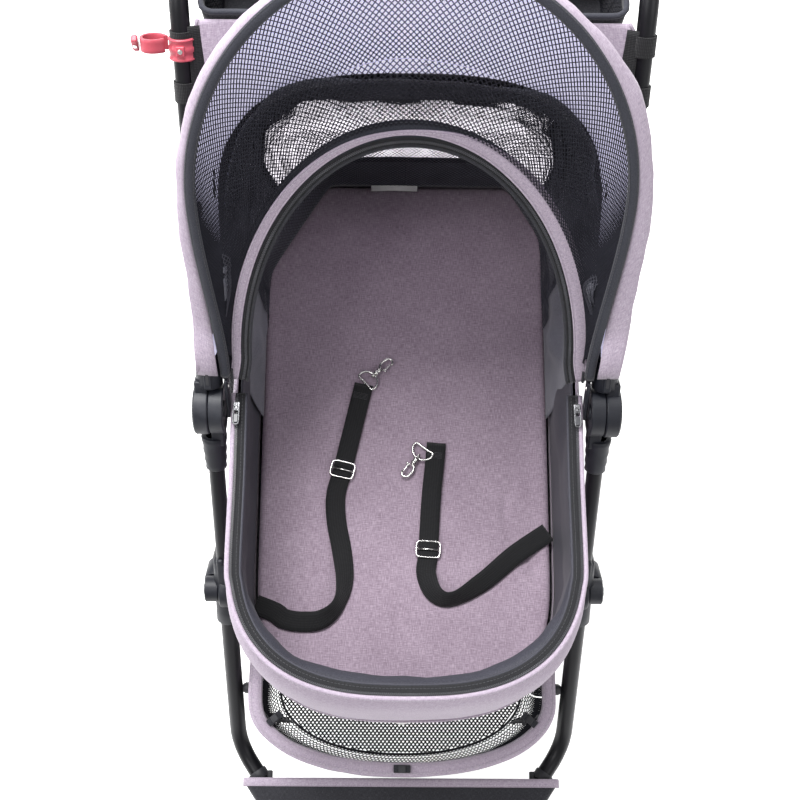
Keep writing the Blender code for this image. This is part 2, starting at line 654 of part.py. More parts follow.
door_bow = paint(tube("door_bow", arch(DOOR_ANGLE, DOOR_R, 0.1985, 0.1975, 0.062, 2.25, 0.052, 2, 18), 0.003, 1), LILAC, 0.7)
door_sections = (
    (58.5, 0.490, 0.2080, 0.2000, 0.25, 2.0, 0.130), (55.5, 0.445, 0.2030, 0.1995, 0.22, 2.1, 0.126),
    (53.0, 0.400, 0.2000, 0.1985, 0.18, 2.2, 0.122), (50.6, 0.349, 0.1985, 0.1980, 0.13, 2.2, 0.120),
)
o = shell(
    "door_mesh",
    [arch(math.radians(a), r, h, b, k, n, st, 3, 12) for a, r, h, b, k, n, st in door_sections],
    floor=False,
    closed=False,
    thickness=0.0012,
)
door_mesh = paint(o, BLACK, 0.8)

# ---------------------------------------------------------------- basket and apron
BSK = dict(front=0.095, n=2.2, rear_r=0.045)
rings = [
    [W(x, y, z) for x, y in outline(hw, yf, yr, steps=12, corner=3, side=2, **BSK)]
    for z, hw, yf, yr in (
        (BASKET_BOTTOM, 0.172, -0.345, 0.120), (BASKET_BOTTOM + 0.02, 0.186, -0.362, 0.138),
        (-0.410, 0.193, -0.373, 0.147), (BASKET_TOP, 0.199, -0.381, 0.150),
    )
]
o = shell("basket_shell", rings, thickness=0.002)
chassis.append(paint(o, BLACK, 0.85))
rim = [W(x, y, BASKET_TOP + 0.0054) for x, y in outline(0.1975, -0.380, 0.149, steps=12, corner=3, side=2, **BSK)]
o = tube("basket_rim", rim, 0.005, 1, cyclic=True)
chassis.append(paint(o, LILAC, 0.8))
apron = []
for k in range(6):
    t = k / 5
    y, w, z = -0.397 - 0.180 * t, 0.208 - 0.124 * t, 0.2450 - HUB_Z - 0.0150 * t
    apron.append([W(x, y, z + dz) for x, dz in ((-w, -0.026), (-w, -0.006), (-w + 0.008, 0), (w - 0.008, 0), (w, -0.006), (w, -0.026))])
o = shell("front_apron", apron, floor=False, closed=False, thickness=0.002, offset=-1.0)
chassis.append(paint(o, BLACK, 0.85))

# ---------------------------------------------------------------- safety tethers
LIE = PAD_TOP + GAP + 0.0013
routes = {
    "l": [(-0.1600, -0.2010), (-0.1480, -0.2090), (-0.1263, -0.2128), (-0.1016, -0.2102), (-0.0815, -0.1930),
          (-0.0745, -0.1624), (-0.0786, -0.1242), (-0.0865, -0.0841), (-0.0880, -0.0500), (-0.0796, -0.0150),
          (-0.0660, 0.0480), (-0.0545, 0.1000)],
    "r": [(0.1750, -0.1020), (0.1398, -0.1264), (0.0980, -0.1620), (0.0600, -0.1850), (0.0380, -0.1780),
          (0.0275, -0.1520), (0.0299, -0.1247), (0.0340, -0.0555), (0.0385, -0.0100), (0.0410, 0.0190)],
}
for tag, sx in SIDES:
    route = smooth_route([W(x, y, LIE) for x, y in routes[tag]], 0.010)
    o = ribbon(f"tether_strap_{tag}", route)
    chassis.append(paint(o, BLACK, 0.85))
    end = route[-1]
    ahead = Vector({"l": (0.73, 0.68, 0), "r": (-0.585, -0.81, 0)}[tag]).normalized()
    side = ahead.cross(Vector((0, 0, 1))).normalized()
    # tri-glide buckle lying on the doubled webbing
    k = min(range(len(route)), key=lambda i: abs((route[i] - end).length - (0.118 if tag == "l" else 0.140)))
    t = (route[k + 1] - route[k - 1]).normalized()
    s = t.cross(Vector((0, 0, 1))).normalized()
    tr = Matrix(((s.x, t.x, 0), (s.y, t.y, 0), (0, 0, 1))).to_4x4()
    c = route[k] + Vector((0, 0, 0.0013 + GAP + 0.0010))
    o = box(f"tether_slider_{tag}", c - Vector((0.0155, 0.0105, 0.0010)), c + Vector((0.0155, 0.0105, 0.0010)), 0.0, turn=tr)
    for i in (-1, 1):
        q = c + t * i * 0.0048
        boolean(o, box(f"glide_slot_{tag}_{i + 1}", q - Vector((0.0130, 0.0028, 0.005)), q + Vector((0.0130, 0.0028, 0.005)), hidden=True, turn=tr), "DIFFERENCE")
    chassis.append(paint(o, NICKEL, 0.3, 0.9))
    # D ring through the strap's end loop, lying on the webbing
    base = end + Vector({"l": (0.0020, 0.0030, 0.0034), "r": (-0.0150, -0.0060, 0.0034)}[tag])
    dee = [base + side * 0.0145, base - side * 0.0145]
    for i in range(9):
        a = math.pi * i / 8
        dee.append(base + ahead * (0.004 + 0.0125 * math.sin(a)) - side * 0.0145 * math.cos(a))
    o = tube(f"tether_ring_{tag}", dee, 0.0017, 1, cyclic=True)
    chassis.append(paint(o, NICKEL, 0.3, 0.9))
    # snap hook: swivel barrel, open hook and its sprung gate
    b = base + ahead * 0.0190 + Vector((0, 0, 0.0010))
    hook = [b, b + ahead * 0.012]
    loop_c = b + ahead * 0.0235
    for i in range(11):
        a = math.radians(25 + 275 * i / 10)
        hook.append(loop_c + ahead * 0.0105 * -math.cos(a) + side * 0.0085 * math.sin(a))
    o = to_mesh(tube(f"tether_hook_{tag}", hook, 0.0021, 1))
    boolean(o, cyl(f"hook_barrel_{tag}", b + ahead * 0.0005, b + ahead * 0.0115, 0.0042, seg=12, hidden=True))
    chassis.append(paint(o, NICKEL, 0.3, 0.9))

# ---------------------------------------------------------------- bodies on their joints
HUB = W(0, 0, 0)
body("chassis", (0, 0, 0), chassis)
body("handle", HUB, handle, "chassis")
body("rear_frame", L(BRACKET_S, 0), rear_frame, "chassis")
body("hood", HUB, [hood_bow, hood_fabric, *bow_plates], "handle")
body("door", HUB, [door_bow, door_mesh], "handle")
body("clip_holder", L(CLIP_S + 0.004, -0.2388), [clip_ring, clip_tab], "handle")
body("front_caster", STEM + Vector((0, 0, YOKE_Z)), [front_fork, front_axle], "chassis")
body("front_wheel", FW, [front_rim, front_tyre], "front_caster")
body("lock_lever", LOCK, [swivel_lock], "chassis")
body("brake", AXLE, [brake_bar], "rear_frame")
for tag, sx in SIDES:
    body(f"latch_{tag}", L(0.088, sx * TRACK), [latches[tag]], "handle")
    body(f"slider_{tag}", W(sx * 0.1965, 0.002, 0.003), [sliders[tag]], "chassis")
    body(f"rear_wheel_{tag}", AXLE + Vector((sx * HALF_TRACK, 0, 0)), rear_wheels[tag], "rear_frame")
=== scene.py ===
import math
import random

import bpy
import numpy as np
from mathutils import Matrix, Vector, noise


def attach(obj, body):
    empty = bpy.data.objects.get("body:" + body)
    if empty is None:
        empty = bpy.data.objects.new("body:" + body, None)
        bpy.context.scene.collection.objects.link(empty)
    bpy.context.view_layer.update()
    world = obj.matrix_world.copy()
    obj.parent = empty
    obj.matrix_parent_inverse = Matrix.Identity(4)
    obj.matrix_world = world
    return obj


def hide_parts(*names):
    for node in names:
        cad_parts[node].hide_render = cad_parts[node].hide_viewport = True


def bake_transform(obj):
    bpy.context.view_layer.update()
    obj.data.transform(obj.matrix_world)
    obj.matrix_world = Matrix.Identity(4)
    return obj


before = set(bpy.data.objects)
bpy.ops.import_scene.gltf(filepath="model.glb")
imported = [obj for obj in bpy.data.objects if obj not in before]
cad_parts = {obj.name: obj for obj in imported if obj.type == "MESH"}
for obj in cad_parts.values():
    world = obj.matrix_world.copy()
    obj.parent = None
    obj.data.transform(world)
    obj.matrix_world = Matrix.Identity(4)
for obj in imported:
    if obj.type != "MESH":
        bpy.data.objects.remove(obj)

for _name in ("Cube", "Light", "Camera"):  # what a new Blender file holds
    if _name in bpy.data.objects:
        bpy.data.objects.remove(bpy.data.objects[_name], do_unlink=True)
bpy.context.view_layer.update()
scene = bpy.context.scene
rng = random.Random(7)

# ------------------------------------------------------------------ dimensions, as in the CAD source
HUB_Y, HUB_Z = 0.1258, 0.660
TRACK = 0.225
SLOPE = math.radians(52.5)
R_UP, R_LEG = 0.0095, 0.011
BRACKET_S = -0.273
BEND = (-0.339, -0.4414)
YOKE_Y, YOKE_Z = -0.625, 0.2015
FRONT_R, REAR_R = 0.080, 0.120
FRONT_WHEEL_Y = -0.605
AXLE_Y, HALF_TRACK = 0.285, 0.255
HANDLE_END = (0.418, 0.425)
PAD_TOP = -0.190
BOW_ANGLE = math.radians(60.0)
CLIP_S = 0.418
UP = Vector((0, math.cos(SLOPE), math.sin(SLOPE)))
SIDES = (("l", -1.0), ("r", 1.0))


def W(x, y, z):
    return Vector((x, HUB_Y + y, HUB_Z + z))


def L(s, x=TRACK):
    return W(x, s * UP.y, s * UP.z)


# ------------------------------------------------------------------ materials
def material(name, color, rough=0.6, metal=0.0, **sockets):
    m = bpy.data.materials.new(name)
    m.use_nodes = True
    nt = m.node_tree
    b = nt.nodes["Principled BSDF"]
    b.inputs["Base Color"].default_value = (*color, 1)
    b.inputs["Roughness"].default_value = rough
    b.inputs["Metallic"].default_value = metal
    for k, v in sockets.items():
        b.inputs[k.replace("_", " ")].default_value = v
    m.diffuse_color = (*color, 1)
    return m, nt, b


class Tree:
    """Short names for building a material's nodes."""

    def __init__(self, nt):
        self.nt, self.N, self.K = nt, nt.nodes, nt.links.new

    def coord(self, kind="UV", scale=(1, 1, 1), turn=0.0):
        t = self.N.new("ShaderNodeTexCoord")
        m = self.N.new("ShaderNodeMapping")
        m.inputs["Scale"].default_value = scale
        m.inputs["Rotation"].default_value = (0, 0, turn)
        self.K(t.outputs[kind], m.inputs["Vector"])
        return m.outputs["Vector"]

    def noise(self, vec, scale=1.0, detail=2.0, rough=0.5, distort=0.0):
        t = self.N.new("ShaderNodeTexNoise")
        t.inputs["Scale"].default_value = scale
        t.inputs["Detail"].default_value = detail
        t.inputs["Roughness"].default_value = rough
        t.inputs["Distortion"].default_value = distort
        self.K(vec, t.inputs["Vector"])
        return t.outputs["Fac"]

    def wave(self, vec, direction="X", profile="SIN", distort=0.0, scale=0.31416):
        """Bands with one period for each unit of the vector."""
        t = self.N.new("ShaderNodeTexWave")
        t.wave_type = "BANDS"
        t.bands_direction = direction
        t.wave_profile = profile
        t.inputs["Scale"].default_value = scale
        t.inputs["Distortion"].default_value = distort
        t.inputs["Detail"].default_value = 1.0
        self.K(vec, t.inputs["Vector"])
        return t.outputs["Fac"]

    def voronoi(self, vec, scale=1.0, feature="F1"):
        t = self.N.new("ShaderNodeTexVoronoi")
        t.feature = feature
        t.inputs["Scale"].default_value = scale
        self.K(vec, t.inputs["Vector"])
        return t.outputs["Distance"]

    def math(self, op, a, b=0.5, clamp=False):
        t = self.N.new("ShaderNodeMath")
        t.operation = op
        t.use_clamp = clamp
        for i, v in enumerate((a, b)):
            if isinstance(v, (int, float)):
                t.inputs[i].default_value = v
            else:
                self.K(v, t.inputs[i])
        return t.outputs[0]

    def ramp(self, fac, stops):
        t = self.N.new("ShaderNodeValToRGB")
        els = t.color_ramp.elements
        while len(els) < len(stops):
            els.new(0.5)
        for e, (p, c) in zip(els, stops):
            e.position = p
            e.color = (*c, 1) if len(c) == 3 else c
        self.K(fac, t.inputs["Fac"])
        return t.outputs["Color"]

    def span(self, fac, lo, hi):
        t = self.N.new("ShaderNodeMapRange")
        t.inputs["To Min"].default_value = lo
        t.inputs["To Max"].default_value = hi
        self.K(fac, t.inputs["Value"])
        return t.outputs["Result"]

    def mix(self, fac, a, b):
        t = self.N.new("ShaderNodeMix")
        t.data_type = "RGBA"
        for sock, v in ((t.inputs["Factor"], fac), (t.inputs[6], a), (t.inputs[7], b)):
            if isinstance(v, (int, float)):
                sock.default_value = v
            elif isinstance(v, tuple):
                sock.default_value = (*v, 1)
            else:
                self.K(v, sock)
        return t.outputs[2]

    def bump(self, height, bsdf, strength=0.3, distance=0.0005):
        t = self.N.new("ShaderNodeBump")
        t.inputs["Strength"].default_value = strength
        t.inputs["Distance"].default_value = distance
        self.K(height, t.inputs["Height"])
        self.K(t.outputs["Normal"], bsdf.inputs["Normal"])


def cloth(name, dark, mid, light, thread=0.0007, slub=0.007, rough=0.88, bump=0.35, mottle=0.12, sheen=0.15, spread=0.14):
    """Woven cloth from two families of uneven threads, in UV metres."""
    m, nt, b = material(name, mid, rough, 0.0, Sheen_Weight=sheen, Sheen_Roughness=0.5, Specular_IOR_Level=0.25)
    t = Tree(nt)
    warp = t.noise(t.coord(scale=(1 / slub, 1 / thread, 1)), 1.0, 2.0, 0.6)
    weft = t.noise(t.coord(scale=(1 / thread, 1 / slub, 1)), 1.0, 2.0, 0.6)
    threads = t.math("MULTIPLY", t.math("ADD", warp, weft), 0.5)
    big = t.noise(t.coord(scale=(18, 18, 1)), 1.0, 3.0, 0.6)
    tone = t.math("ADD", threads, t.math("MULTIPLY", t.math("SUBTRACT", big, 0.5), mottle))
    col = t.ramp(tone, [(0.5 - spread, dark), (0.5, mid), (0.5 + spread, light)])
    t.K(col, b.inputs["Base Color"])
    p = 2 * thread
    weave = t.math("MULTIPLY", t.wave(t.coord(scale=(1 / p, 1 / p, 1)), "X"), t.wave(t.coord(scale=(1 / p, 1 / p, 1)), "Y"))
    t.bump(t.math("ADD", t.math("MULTIPLY", weave, 0.5), threads), b, bump, 0.0004)
    t.K(t.span(threads, rough - 0.06, min(1.0, rough + 0.08)), b.inputs["Roughness"])
    return m


def plastic(name, color, rough=0.5, grain=0.0009, bump=0.12, wear=0.04, **k):
    k.setdefault("Specular_IOR_Level", 0.35)
    m, nt, b = material(name, color, rough, 0.0, **k)
    t = Tree(nt)
    o = t.coord("Object")
    fine = t.noise(o, 1 / grain, 2.0, 0.6)
    big = t.noise(o, 22, 4.0, 0.6)
    lighter = tuple(min(1, c * 1.35 + wear * 0.3) for c in color)
    darker = tuple(c * 0.82 for c in color)
    t.K(t.ramp(big, [(0.3, darker), (0.5, color), (0.72, lighter)]), b.inputs["Base Color"])
    t.K(t.span(t.math("ADD", t.math("MULTIPLY", big, 0.6), t.math("MULTIPLY", fine, 0.4)), rough - 0.1, rough + 0.12), b.inputs["Roughness"])
    t.bump(fine, b, bump, 0.0003)
    return m


def painted(name, color, rough=0.38, metal=0.35):
    m, nt, b = material(name, color, rough, metal, Coat_Weight=0.12, Coat_Roughness=0.35, Specular_IOR_Level=0.30)
    t = Tree(nt)
    o = t.coord("Object")
    fine = t.noise(o, 1400, 2.0, 0.5)
    big = t.noise(o, 14, 5.0, 0.62)
    t.K(t.ramp(big, [(0.3, tuple(c * 0.85 for c in color)), (0.62, color), (0.8, tuple(c * 1.3 for c in color))]), b.inputs["Base Color"])
    t.K(t.span(big, rough - 0.08, rough + 0.14), b.inputs["Roughness"])
    t.bump(fine, b, 0.08, 0.0003)
    return m


def metal(name, color, rough=0.22, scratch=0.06):
    m, nt, b = material(name, color, rough, 1.0)
    t = Tree(nt)
    o = t.coord("Object")
    streak = t.noise(t.coord("Object", (900, 900, 90)), 1.0, 3.0, 0.6)
    big = t.noise(o, 60, 3.0, 0.5)
    t.K(t.ramp(big, [(0.3, tuple(c * 0.85 for c in color)), (0.7, color)]), b.inputs["Base Color"])
    t.K(t.span(streak, rough - 0.07, rough + 0.14), b.inputs["Roughness"])
    t.bump(streak, b, scratch, 0.0002)
    return m


def webbing(name, color, light, rib=0.0016):
    """Ribbed webbing: u runs along it, v across it."""
    m, nt, b = material(name, color, 0.8, 0.0, Sheen_Weight=0.1, Specular_IOR_Level=0.3)
    t = Tree(nt)
    ribs = t.wave(t.coord(scale=(1 / rib, 1, 1)), "X")
    across = t.wave(t.coord(scale=(1, 1 / 0.0031, 1)), "Y")
    n = t.noise(t.coord(scale=(900, 1400, 1)), 1.0, 2.0, 0.6)
    h = t.math("ADD", t.math("MULTIPLY", ribs, t.span(across, 0.55, 1.0)), t.math("MULTIPLY", n, 0.5))
    t.K(t.ramp(t.math("MULTIPLY", h, 0.66), [(0.1, color), (0.6, tuple((a + c) / 2 for a, c in zip(color, light))), (0.95, light)]), b.inputs["Base Color"])
    t.bump(h, b, 0.8, 0.0005)
    return m


def strand(name, color, light):
    """Black knitted net strand."""
    m, nt, b = material(name, color, 0.8, 0.0, Specular_IOR_Level=0.10)
    t = Tree(nt)
    o = t.coord("Object")
    n = t.noise(o, 1500, 2.0, 0.6)
    big = t.noise(o, 30, 2.0, 0.5)
    t.K(t.ramp(t.math("ADD", t.math("MULTIPLY", n, 0.6), t.math("MULTIPLY", big, 0.4)), [(0.3, color), (0.75, light)]), b.inputs["Base Color"])
    t.K(t.span(n, 0.70, 0.92), b.inputs["Roughness"])
    t.bump(n, b, 0.3, 0.0003)
    return m


def wood(name, dark, light):
    m, nt, b = material(name, light, 0.75)
    t = Tree(nt)
    g = t.noise(t.coord("Object", (9, 240, 240)), 1.0, 4.0, 0.6)
    t.K(t.ramp(g, [(0.3, dark), (0.7, light)]), b.inputs["Base Color"])
    t.bump(g, b, 0.2, 0.0005)
    return m


LILAC = cloth("lilac_melange", (0.250, 0.205, 0.262), (0.345, 0.290, 0.358), (0.46, 0.40, 0.47), 0.0006, 0.005, mottle=0.10)
LILAC_DARK = cloth("lilac_trim", (0.22, 0.18, 0.23), (0.31, 0.26, 0.32), (0.42, 0.37, 0.43), 0.0006, 0.004)
LINING = cloth("lavender_lining", (0.56, 0.54, 0.72), (0.66, 0.64, 0.83), (0.76, 0.74, 0.92), 0.0005, 0.004, mottle=0.10, bump=0.15)
PADCLOTH = cloth("pad_cross_weave", (0.185, 0.138, 0.178), (0.290, 0.226, 0.284), (0.43, 0.35, 0.42), 0.00085, 0.009, mottle=0.16, bump=0.5, spread=0.17)
BLACKCLOTH = cloth("black_cloth", (0.010, 0.010, 0.013), (0.020, 0.020, 0.025), (0.042, 0.042, 0.050), 0.0005, 0.004, rough=0.8, bump=0.3)
BLACKLINE = cloth("black_lining", (0.017, 0.017, 0.023), (0.032, 0.032, 0.043), (0.055, 0.055, 0.071), 0.0004, 0.003, rough=0.55, bump=0.12, sheen=0.05)
MESHBACK = cloth("black_mesh_cloth", (0.055, 0.055, 0.068), (0.110, 0.110, 0.136), (0.17, 0.17, 0.205), 0.0012, 0.0016, rough=0.75, bump=0.8)
BINDING = cloth("binding_tape", (0.011, 0.012, 0.018), (0.022, 0.023, 0.032), (0.042, 0.043, 0.056), 0.0005, 0.002, rough=0.7, bump=0.4)
NET = strand("net_strand", (0.010, 0.010, 0.014), (0.030, 0.030, 0.040))
NETLINE = strand("net_lining", (0.040, 0.040, 0.050), (0.095, 0.095, 0.118))
NETFINE = strand("net_fine", (0.006, 0.006, 0.008), (0.018, 0.018, 0.024))
WEB = webbing("black_webbing", (0.003, 0.003, 0.004), (0.017, 0.017, 0.019))
TUBE = painted("charcoal_paint", (0.0045, 0.0045, 0.0065))
HUB = plastic("hub_plastic", (0.008, 0.009, 0.014), 0.46, 0.0011, 0.16)
HUB_DARK = plastic("dark_plastic", (0.022, 0.022, 0.026), 0.5, 0.0011, 0.16)
RIMPLASTIC = plastic("rim_plastic", (0.050, 0.051, 0.058), 0.42)
PINK = plastic("clip_plastic", (0.40, 0.060, 0.085), 0.36, 0.0015, 0.04, Subsurface_Weight=0.0)
RED = plastic("brake_plastic", (0.28, 0.035, 0.045), 0.5)
RUBBER = plastic("tyre_rubber", (0.018, 0.018, 0.020), 0.82, 0.0016, 0.3)
FOAM = plastic("grip_foam", (0.020, 0.020, 0.022), 0.9, 0.0013, 0.7)
NICKEL = metal("nickel", (0.66, 0.65, 0.63), 0.2)
GUNMETAL = metal("gunmetal", (0.20, 0.20, 0.21), 0.34)
STEEL = metal("brushed_steel", (0.50, 0.51, 0.53), 0.32, 0.2)
ZIPTEETH = plastic("zip_coil", (0.070, 0.070, 0.078), 0.3, 0.002, 0.05)
ZIPTAPE = cloth("zip_tape", (0.005, 0.005, 0.006), (0.011, 0.011, 0.013), (0.022, 0.022, 0.026), 0.0006, 0.0025, rough=0.8, bump=0.6)
THREAD = cloth("sewing_thread", (0.30, 0.26, 0.31), (0.44, 0.39, 0.45), (0.60, 0.55, 0.61), 0.0002, 0.0008)
THREAD_BLACK = cloth("sewing_thread_black", (0.03, 0.03, 0.034), (0.05, 0.05, 0.056), (0.08, 0.08, 0.088), 0.0002, 0.0008)
for _m, _c, _e in ((LINING, (0.66, 0.64, 0.84), 0.30),):
    _b = _m.node_tree.nodes["Principled BSDF"]
    _b.inputs["Emission Color"].default_value = (*_c, 1)  # daylight that comes through the thin cloth
    _b.inputs["Emission Strength"].default_value = _e * 2.0
WINDOW = cloth("window_cloth", (0.62, 0.58, 0.64), (0.74, 0.70, 0.76), (0.86, 0.83, 0.88), 0.0006, 0.003)
# the window cloth is pale in itself; its emission is painted backlight, a glow standing in for studio light coming
# through the cloth
_b = WINDOW.node_tree.nodes["Principled BSDF"]
_b.inputs["Emission Color"].default_value = (0.80, 0.76, 0.83, 1)
_b.inputs["Emission Strength"].default_value = 1.9
LABEL = cloth("label_tape", (0.66, 0.65, 0.64), (0.78, 0.77, 0.76), (0.88, 0.87, 0.86), 0.0004, 0.0012)
BOARD = wood("fibreboard", (0.12, 0.085, 0.055), (0.26, 0.19, 0.13))


# ------------------------------------------------------------------ mesh helpers
def place(name, verts, faces, mat, body=None, uvs=None, smooth=True, replaces=(), slot=None):
    me = bpy.data.meshes.new(name)
    me.from_pydata(np.asarray(verts, float).tolist() if not isinstance(verts, list) else verts, [], faces)
    if uvs is not None:
        layer = me.uv_layers.new(name="UVMap")
        layer.data.foreach_set("uv", np.asarray(uvs, np.float32).ravel())
    me.materials.append(mat)
    if smooth:
        me.shade_smooth()
    o = bpy.data.objects.new(name, me)
    scene.collection.objects.link(o)
    if body:
        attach(o, body)
    if replaces:
        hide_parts(*replaces)
    return o


def solid(o, thickness, offset=0.0):
    s = o.modifiers.new("thickness", "SOLIDIFY")
    s.thickness, s.offset, s.use_even_offset = thickness, offset, False
    return o


def grid(name, rows, mat, body=None, closed=False, thick=0.0, offset=0.0, flip=False, **k):
    """A sheet through rows of points; UVs are in metres, u along the rows."""
    R = np.array([[tuple(p) for p in row] for row in rows], float)
    m, n, _ = R.shape
    C = np.concatenate([R, R[:, :1]], axis=1) if closed else R
    du = np.linalg.norm(np.diff(C, axis=1), axis=2)
    U = np.concatenate([np.zeros((m, 1)), np.cumsum(du, axis=1)], axis=1)
    U -= U[:, -1:] / 2
    V = np.concatenate([[0], np.cumsum(np.linalg.norm(np.diff(R, axis=0), axis=2).mean(axis=1))])
    faces, uvs = [], []
    cols = n if closed else n - 1
    for i in range(m - 1):
        for j in range(cols):
            j2 = (j + 1) % n
            f = [(i, j, j), (i, j2, j + 1), (i + 1, j2, j + 1), (i + 1, j, j)]
            if flip:
                f = f[::-1]
            faces.append([a * n + b for a, b, _ in f])
            uvs += [(U[a, c], V[a]) for a, _, c in f]
    o = place(name, R.reshape(-1, 3).tolist(), faces, mat, body, uvs, **k)
    if thick:
        solid(o, thick, offset)
    return o


def frames(pts, closed=False, up=None):
    """Tangents and steady side vectors along a path."""
    P = np.array([tuple(p) for p in pts], float)
    n = len(P)
    T = np.roll(P, -1, 0) - np.roll(P, 1, 0) if closed else np.gradient(P, axis=0)
    T /= np.linalg.norm(T, axis=1, keepdims=True) + 1e-12
    if up is not None:
        Uv = np.array([tuple(u) for u in up], float) if np.ndim(up) > 1 or len(up) == n and not np.isscalar(up[0]) else np.tile(np.array(up, float), (n, 1))
        S = np.cross(T, Uv)
        S /= np.linalg.norm(S, axis=1, keepdims=True) + 1e-12
        return P, T, S, np.cross(S, T)
    a = np.array([0.0, 0.0, 1.0]) if abs(T[0][2]) < 0.9 else np.array([1.0, 0.0, 0.0])
    s = np.cross(T[0], a)
    s /= np.linalg.norm(s)
    S = [s]
    for i in range(1, n):
        v = S[-1] - T[i] * np.dot(S[-1], T[i])
        S.append(v / (np.linalg.norm(v) + 1e-12))
    S = np.array(S)
    return P, T, S, np.cross(S, T)


def loft(name, rings, mat, body=None, closed=False, caps=True, **k):
    """A surface through rings of points, each ring closed round the path; u runs along the path, v round it."""
    R = np.asarray(rings, float)
    m, n, _ = R.shape
    C = np.concatenate([R, R[:, :1]], axis=1)
    per = np.linalg.norm(np.diff(C, axis=1), axis=2)
    V = np.concatenate([np.zeros((m, 1)), np.cumsum(per, axis=1)], axis=1)
    mid = R.mean(axis=1)
    U = np.concatenate([[0], np.cumsum(np.linalg.norm(np.diff(np.concatenate([mid, mid[:1]]) if closed else mid, axis=0), axis=1))])
    faces, uvs = [], []
    for i in range(m if closed else m - 1):
        i2 = (i + 1) % m
        for j in range(n):
            j2 = (j + 1) % n
            faces.append([i * n + j, i * n + j2, i2 * n + j2, i2 * n + j])
            uvs += [(U[i], V[i, j]), (U[i], V[i, j + 1]), (U[i + 1], V[i2, j + 1]), (U[i + 1], V[i2, j])]
    if caps and not closed:
        faces.append(list(range(n))[::-1])
        uvs += [(V[0, j], 0) for j in range(n)][::-1]
        faces.append([(m - 1) * n + j for j in range(n)])
        uvs += [(V[0, j], 0) for j in range(n)]
    return place(name, R.reshape(-1, 3).tolist(), faces, mat, body, uvs, **k)


def sweep(name, pts, r, mat, body=None, sides=20, closed=False, up=None, flat=1.0, radii=None, caps=True, power=2.0, **k):
    """A tube along a path; flat scales it across `up`, radii scales it along the path."""
    P, T, S, N = frames(pts, closed, up)
    a = np.linspace(0, math.tau, sides, endpoint=False)
    c, s = np.cos(a), np.sin(a)
    c = np.sign(c) * np.abs(c) ** (2 / power)
    s = np.sign(s) * np.abs(s) ** (2 / power)
    f = np.ones(len(P)) if radii is None else np.asarray(radii, float)
    R = P[:, None, :] + (S[:, None, :] * c[None, :, None] + N[:, None, :] * s[None, :, None] * flat) * (r * f)[:, None, None]
    return loft(name, R, mat, body, closed, caps, **k)


def ribbon(name, pts, width, thick, mat, body=None, up=(0, 0, 1), closed=False, roll=None, bow=0.0, widths=None, **k):
    """Flat webbing or tape: u runs along it and v across it."""
    P, T, S, N = frames(pts, closed, up)
    if roll is not None:
        c, s = np.cos(roll)[:, None], np.sin(roll)[:, None]
        S, N = S * c + N * s, N * c - S * s
    e = 0.42
    prof = [(-0.5, 0), (-0.49, -e), (-0.25, -0.5), (0.25, -0.5), (0.49, -e), (0.5, 0), (0.49, e), (0.25, 0.5), (-0.25, 0.5), (-0.49, e)]
    w = np.full(len(P), width) if widths is None else np.asarray(widths, float)
    R = np.stack([P + S * (x * w)[:, None] + N * (y * thick + bow * (1 - 4 * x * x)) for x, y in prof], axis=1)
    return loft(name, R, mat, body, closed, True, **k)


def resample(pts, step, closed=False):
    P = np.array([tuple(p) for p in pts], float)
    if closed:
        P = np.concatenate([P, P[:1]])
    d = np.concatenate([[0], np.cumsum(np.linalg.norm(np.diff(P, axis=0), axis=1))])
    n = max(2, int(round(d[-1] / step)))
    t = np.linspace(0, d[-1], n + 1)
    if closed:
        t = t[:-1]
    return np.stack([np.interp(t, d, P[:, i]) for i in range(3)], axis=1)


def even(pts, count):
    """A closed line of points as count evenly spaced ones, the first repeated at the end."""
    P = np.array([tuple(p) for p in pts], float)
    P = np.concatenate([P, P[:1]])
    d = np.concatenate([[0], np.cumsum(np.linalg.norm(np.diff(P, axis=0), axis=1))])
    t = np.linspace(0, d[-1], count)
    return np.stack([np.interp(t, d, P[:, k]) for k in range(3)], axis=1)


def smoothed(points, step=0.005, closed=False):
    """Points on a Catmull-Rom curve through the given ones, evenly spaced."""
    p = [np.array(tuple(q), float) for q in points]
    if closed:
        p = [p[-1]] + p + [p[0], p[1]]
    else:
        p = [2 * p[0] - p[1]] + p + [2 * p[-1] - p[-2]]
    out = []
    for a, b, c, d in zip(p, p[1:], p[2:], p[3:]):
        for i in range(16):
            t = i / 16
            out.append(0.5 * (2 * b + (c - a) * t + (2 * a - 5 * b + 4 * c - d) * t * t + (3 * b - a - 3 * c + d) * t**3))
    if not closed:
        out.append(p[-2])
    return resample(out, step, closed)


def blocks(name, pts, up, mat, body, pitch, dims, aside=0.0, lift=0.0, stagger=0.0, **k):
    """Small blocks along a path, such as zip teeth or stitches; dims are along, across and up."""
    Q = resample(pts, pitch)
    P, T, S, N = frames(Q, False, up if np.ndim(up) == 1 else [up[min(len(up) - 1, int(i * len(up) / len(Q)))] for i in range(len(Q))])
    verts, faces = [], []
    a, b, c = (x / 2 for x in dims)
    for i in range(len(P) - 1):
        o = P[i] + S[i] * (aside + (stagger if i % 2 else -stagger)) + N[i] * lift
        q = len(verts)
        for z in (-1, 1):
            f = 1.0 if z < 0 else 0.72
            for x, y in ((-1, -1), (1, -1), (1, 1), (-1, 1)):
                verts.append(tuple(o + T[i] * a * x * f + S[i] * b * y * f + N[i] * c * z))
        faces += [[q + j for j in f] for f in ((3, 2, 1, 0), (4, 5, 6, 7), (0, 1, 5, 4), (1, 2, 6, 5), (2, 3, 7, 6), (3, 0, 4, 7))]
    uvs = [(0.001 * (i % 7), 0.0007 * (i % 5)) for i in range(len(faces) * 4)]
    return place(name, verts, faces, mat, body, uvs, smooth=False, **k)


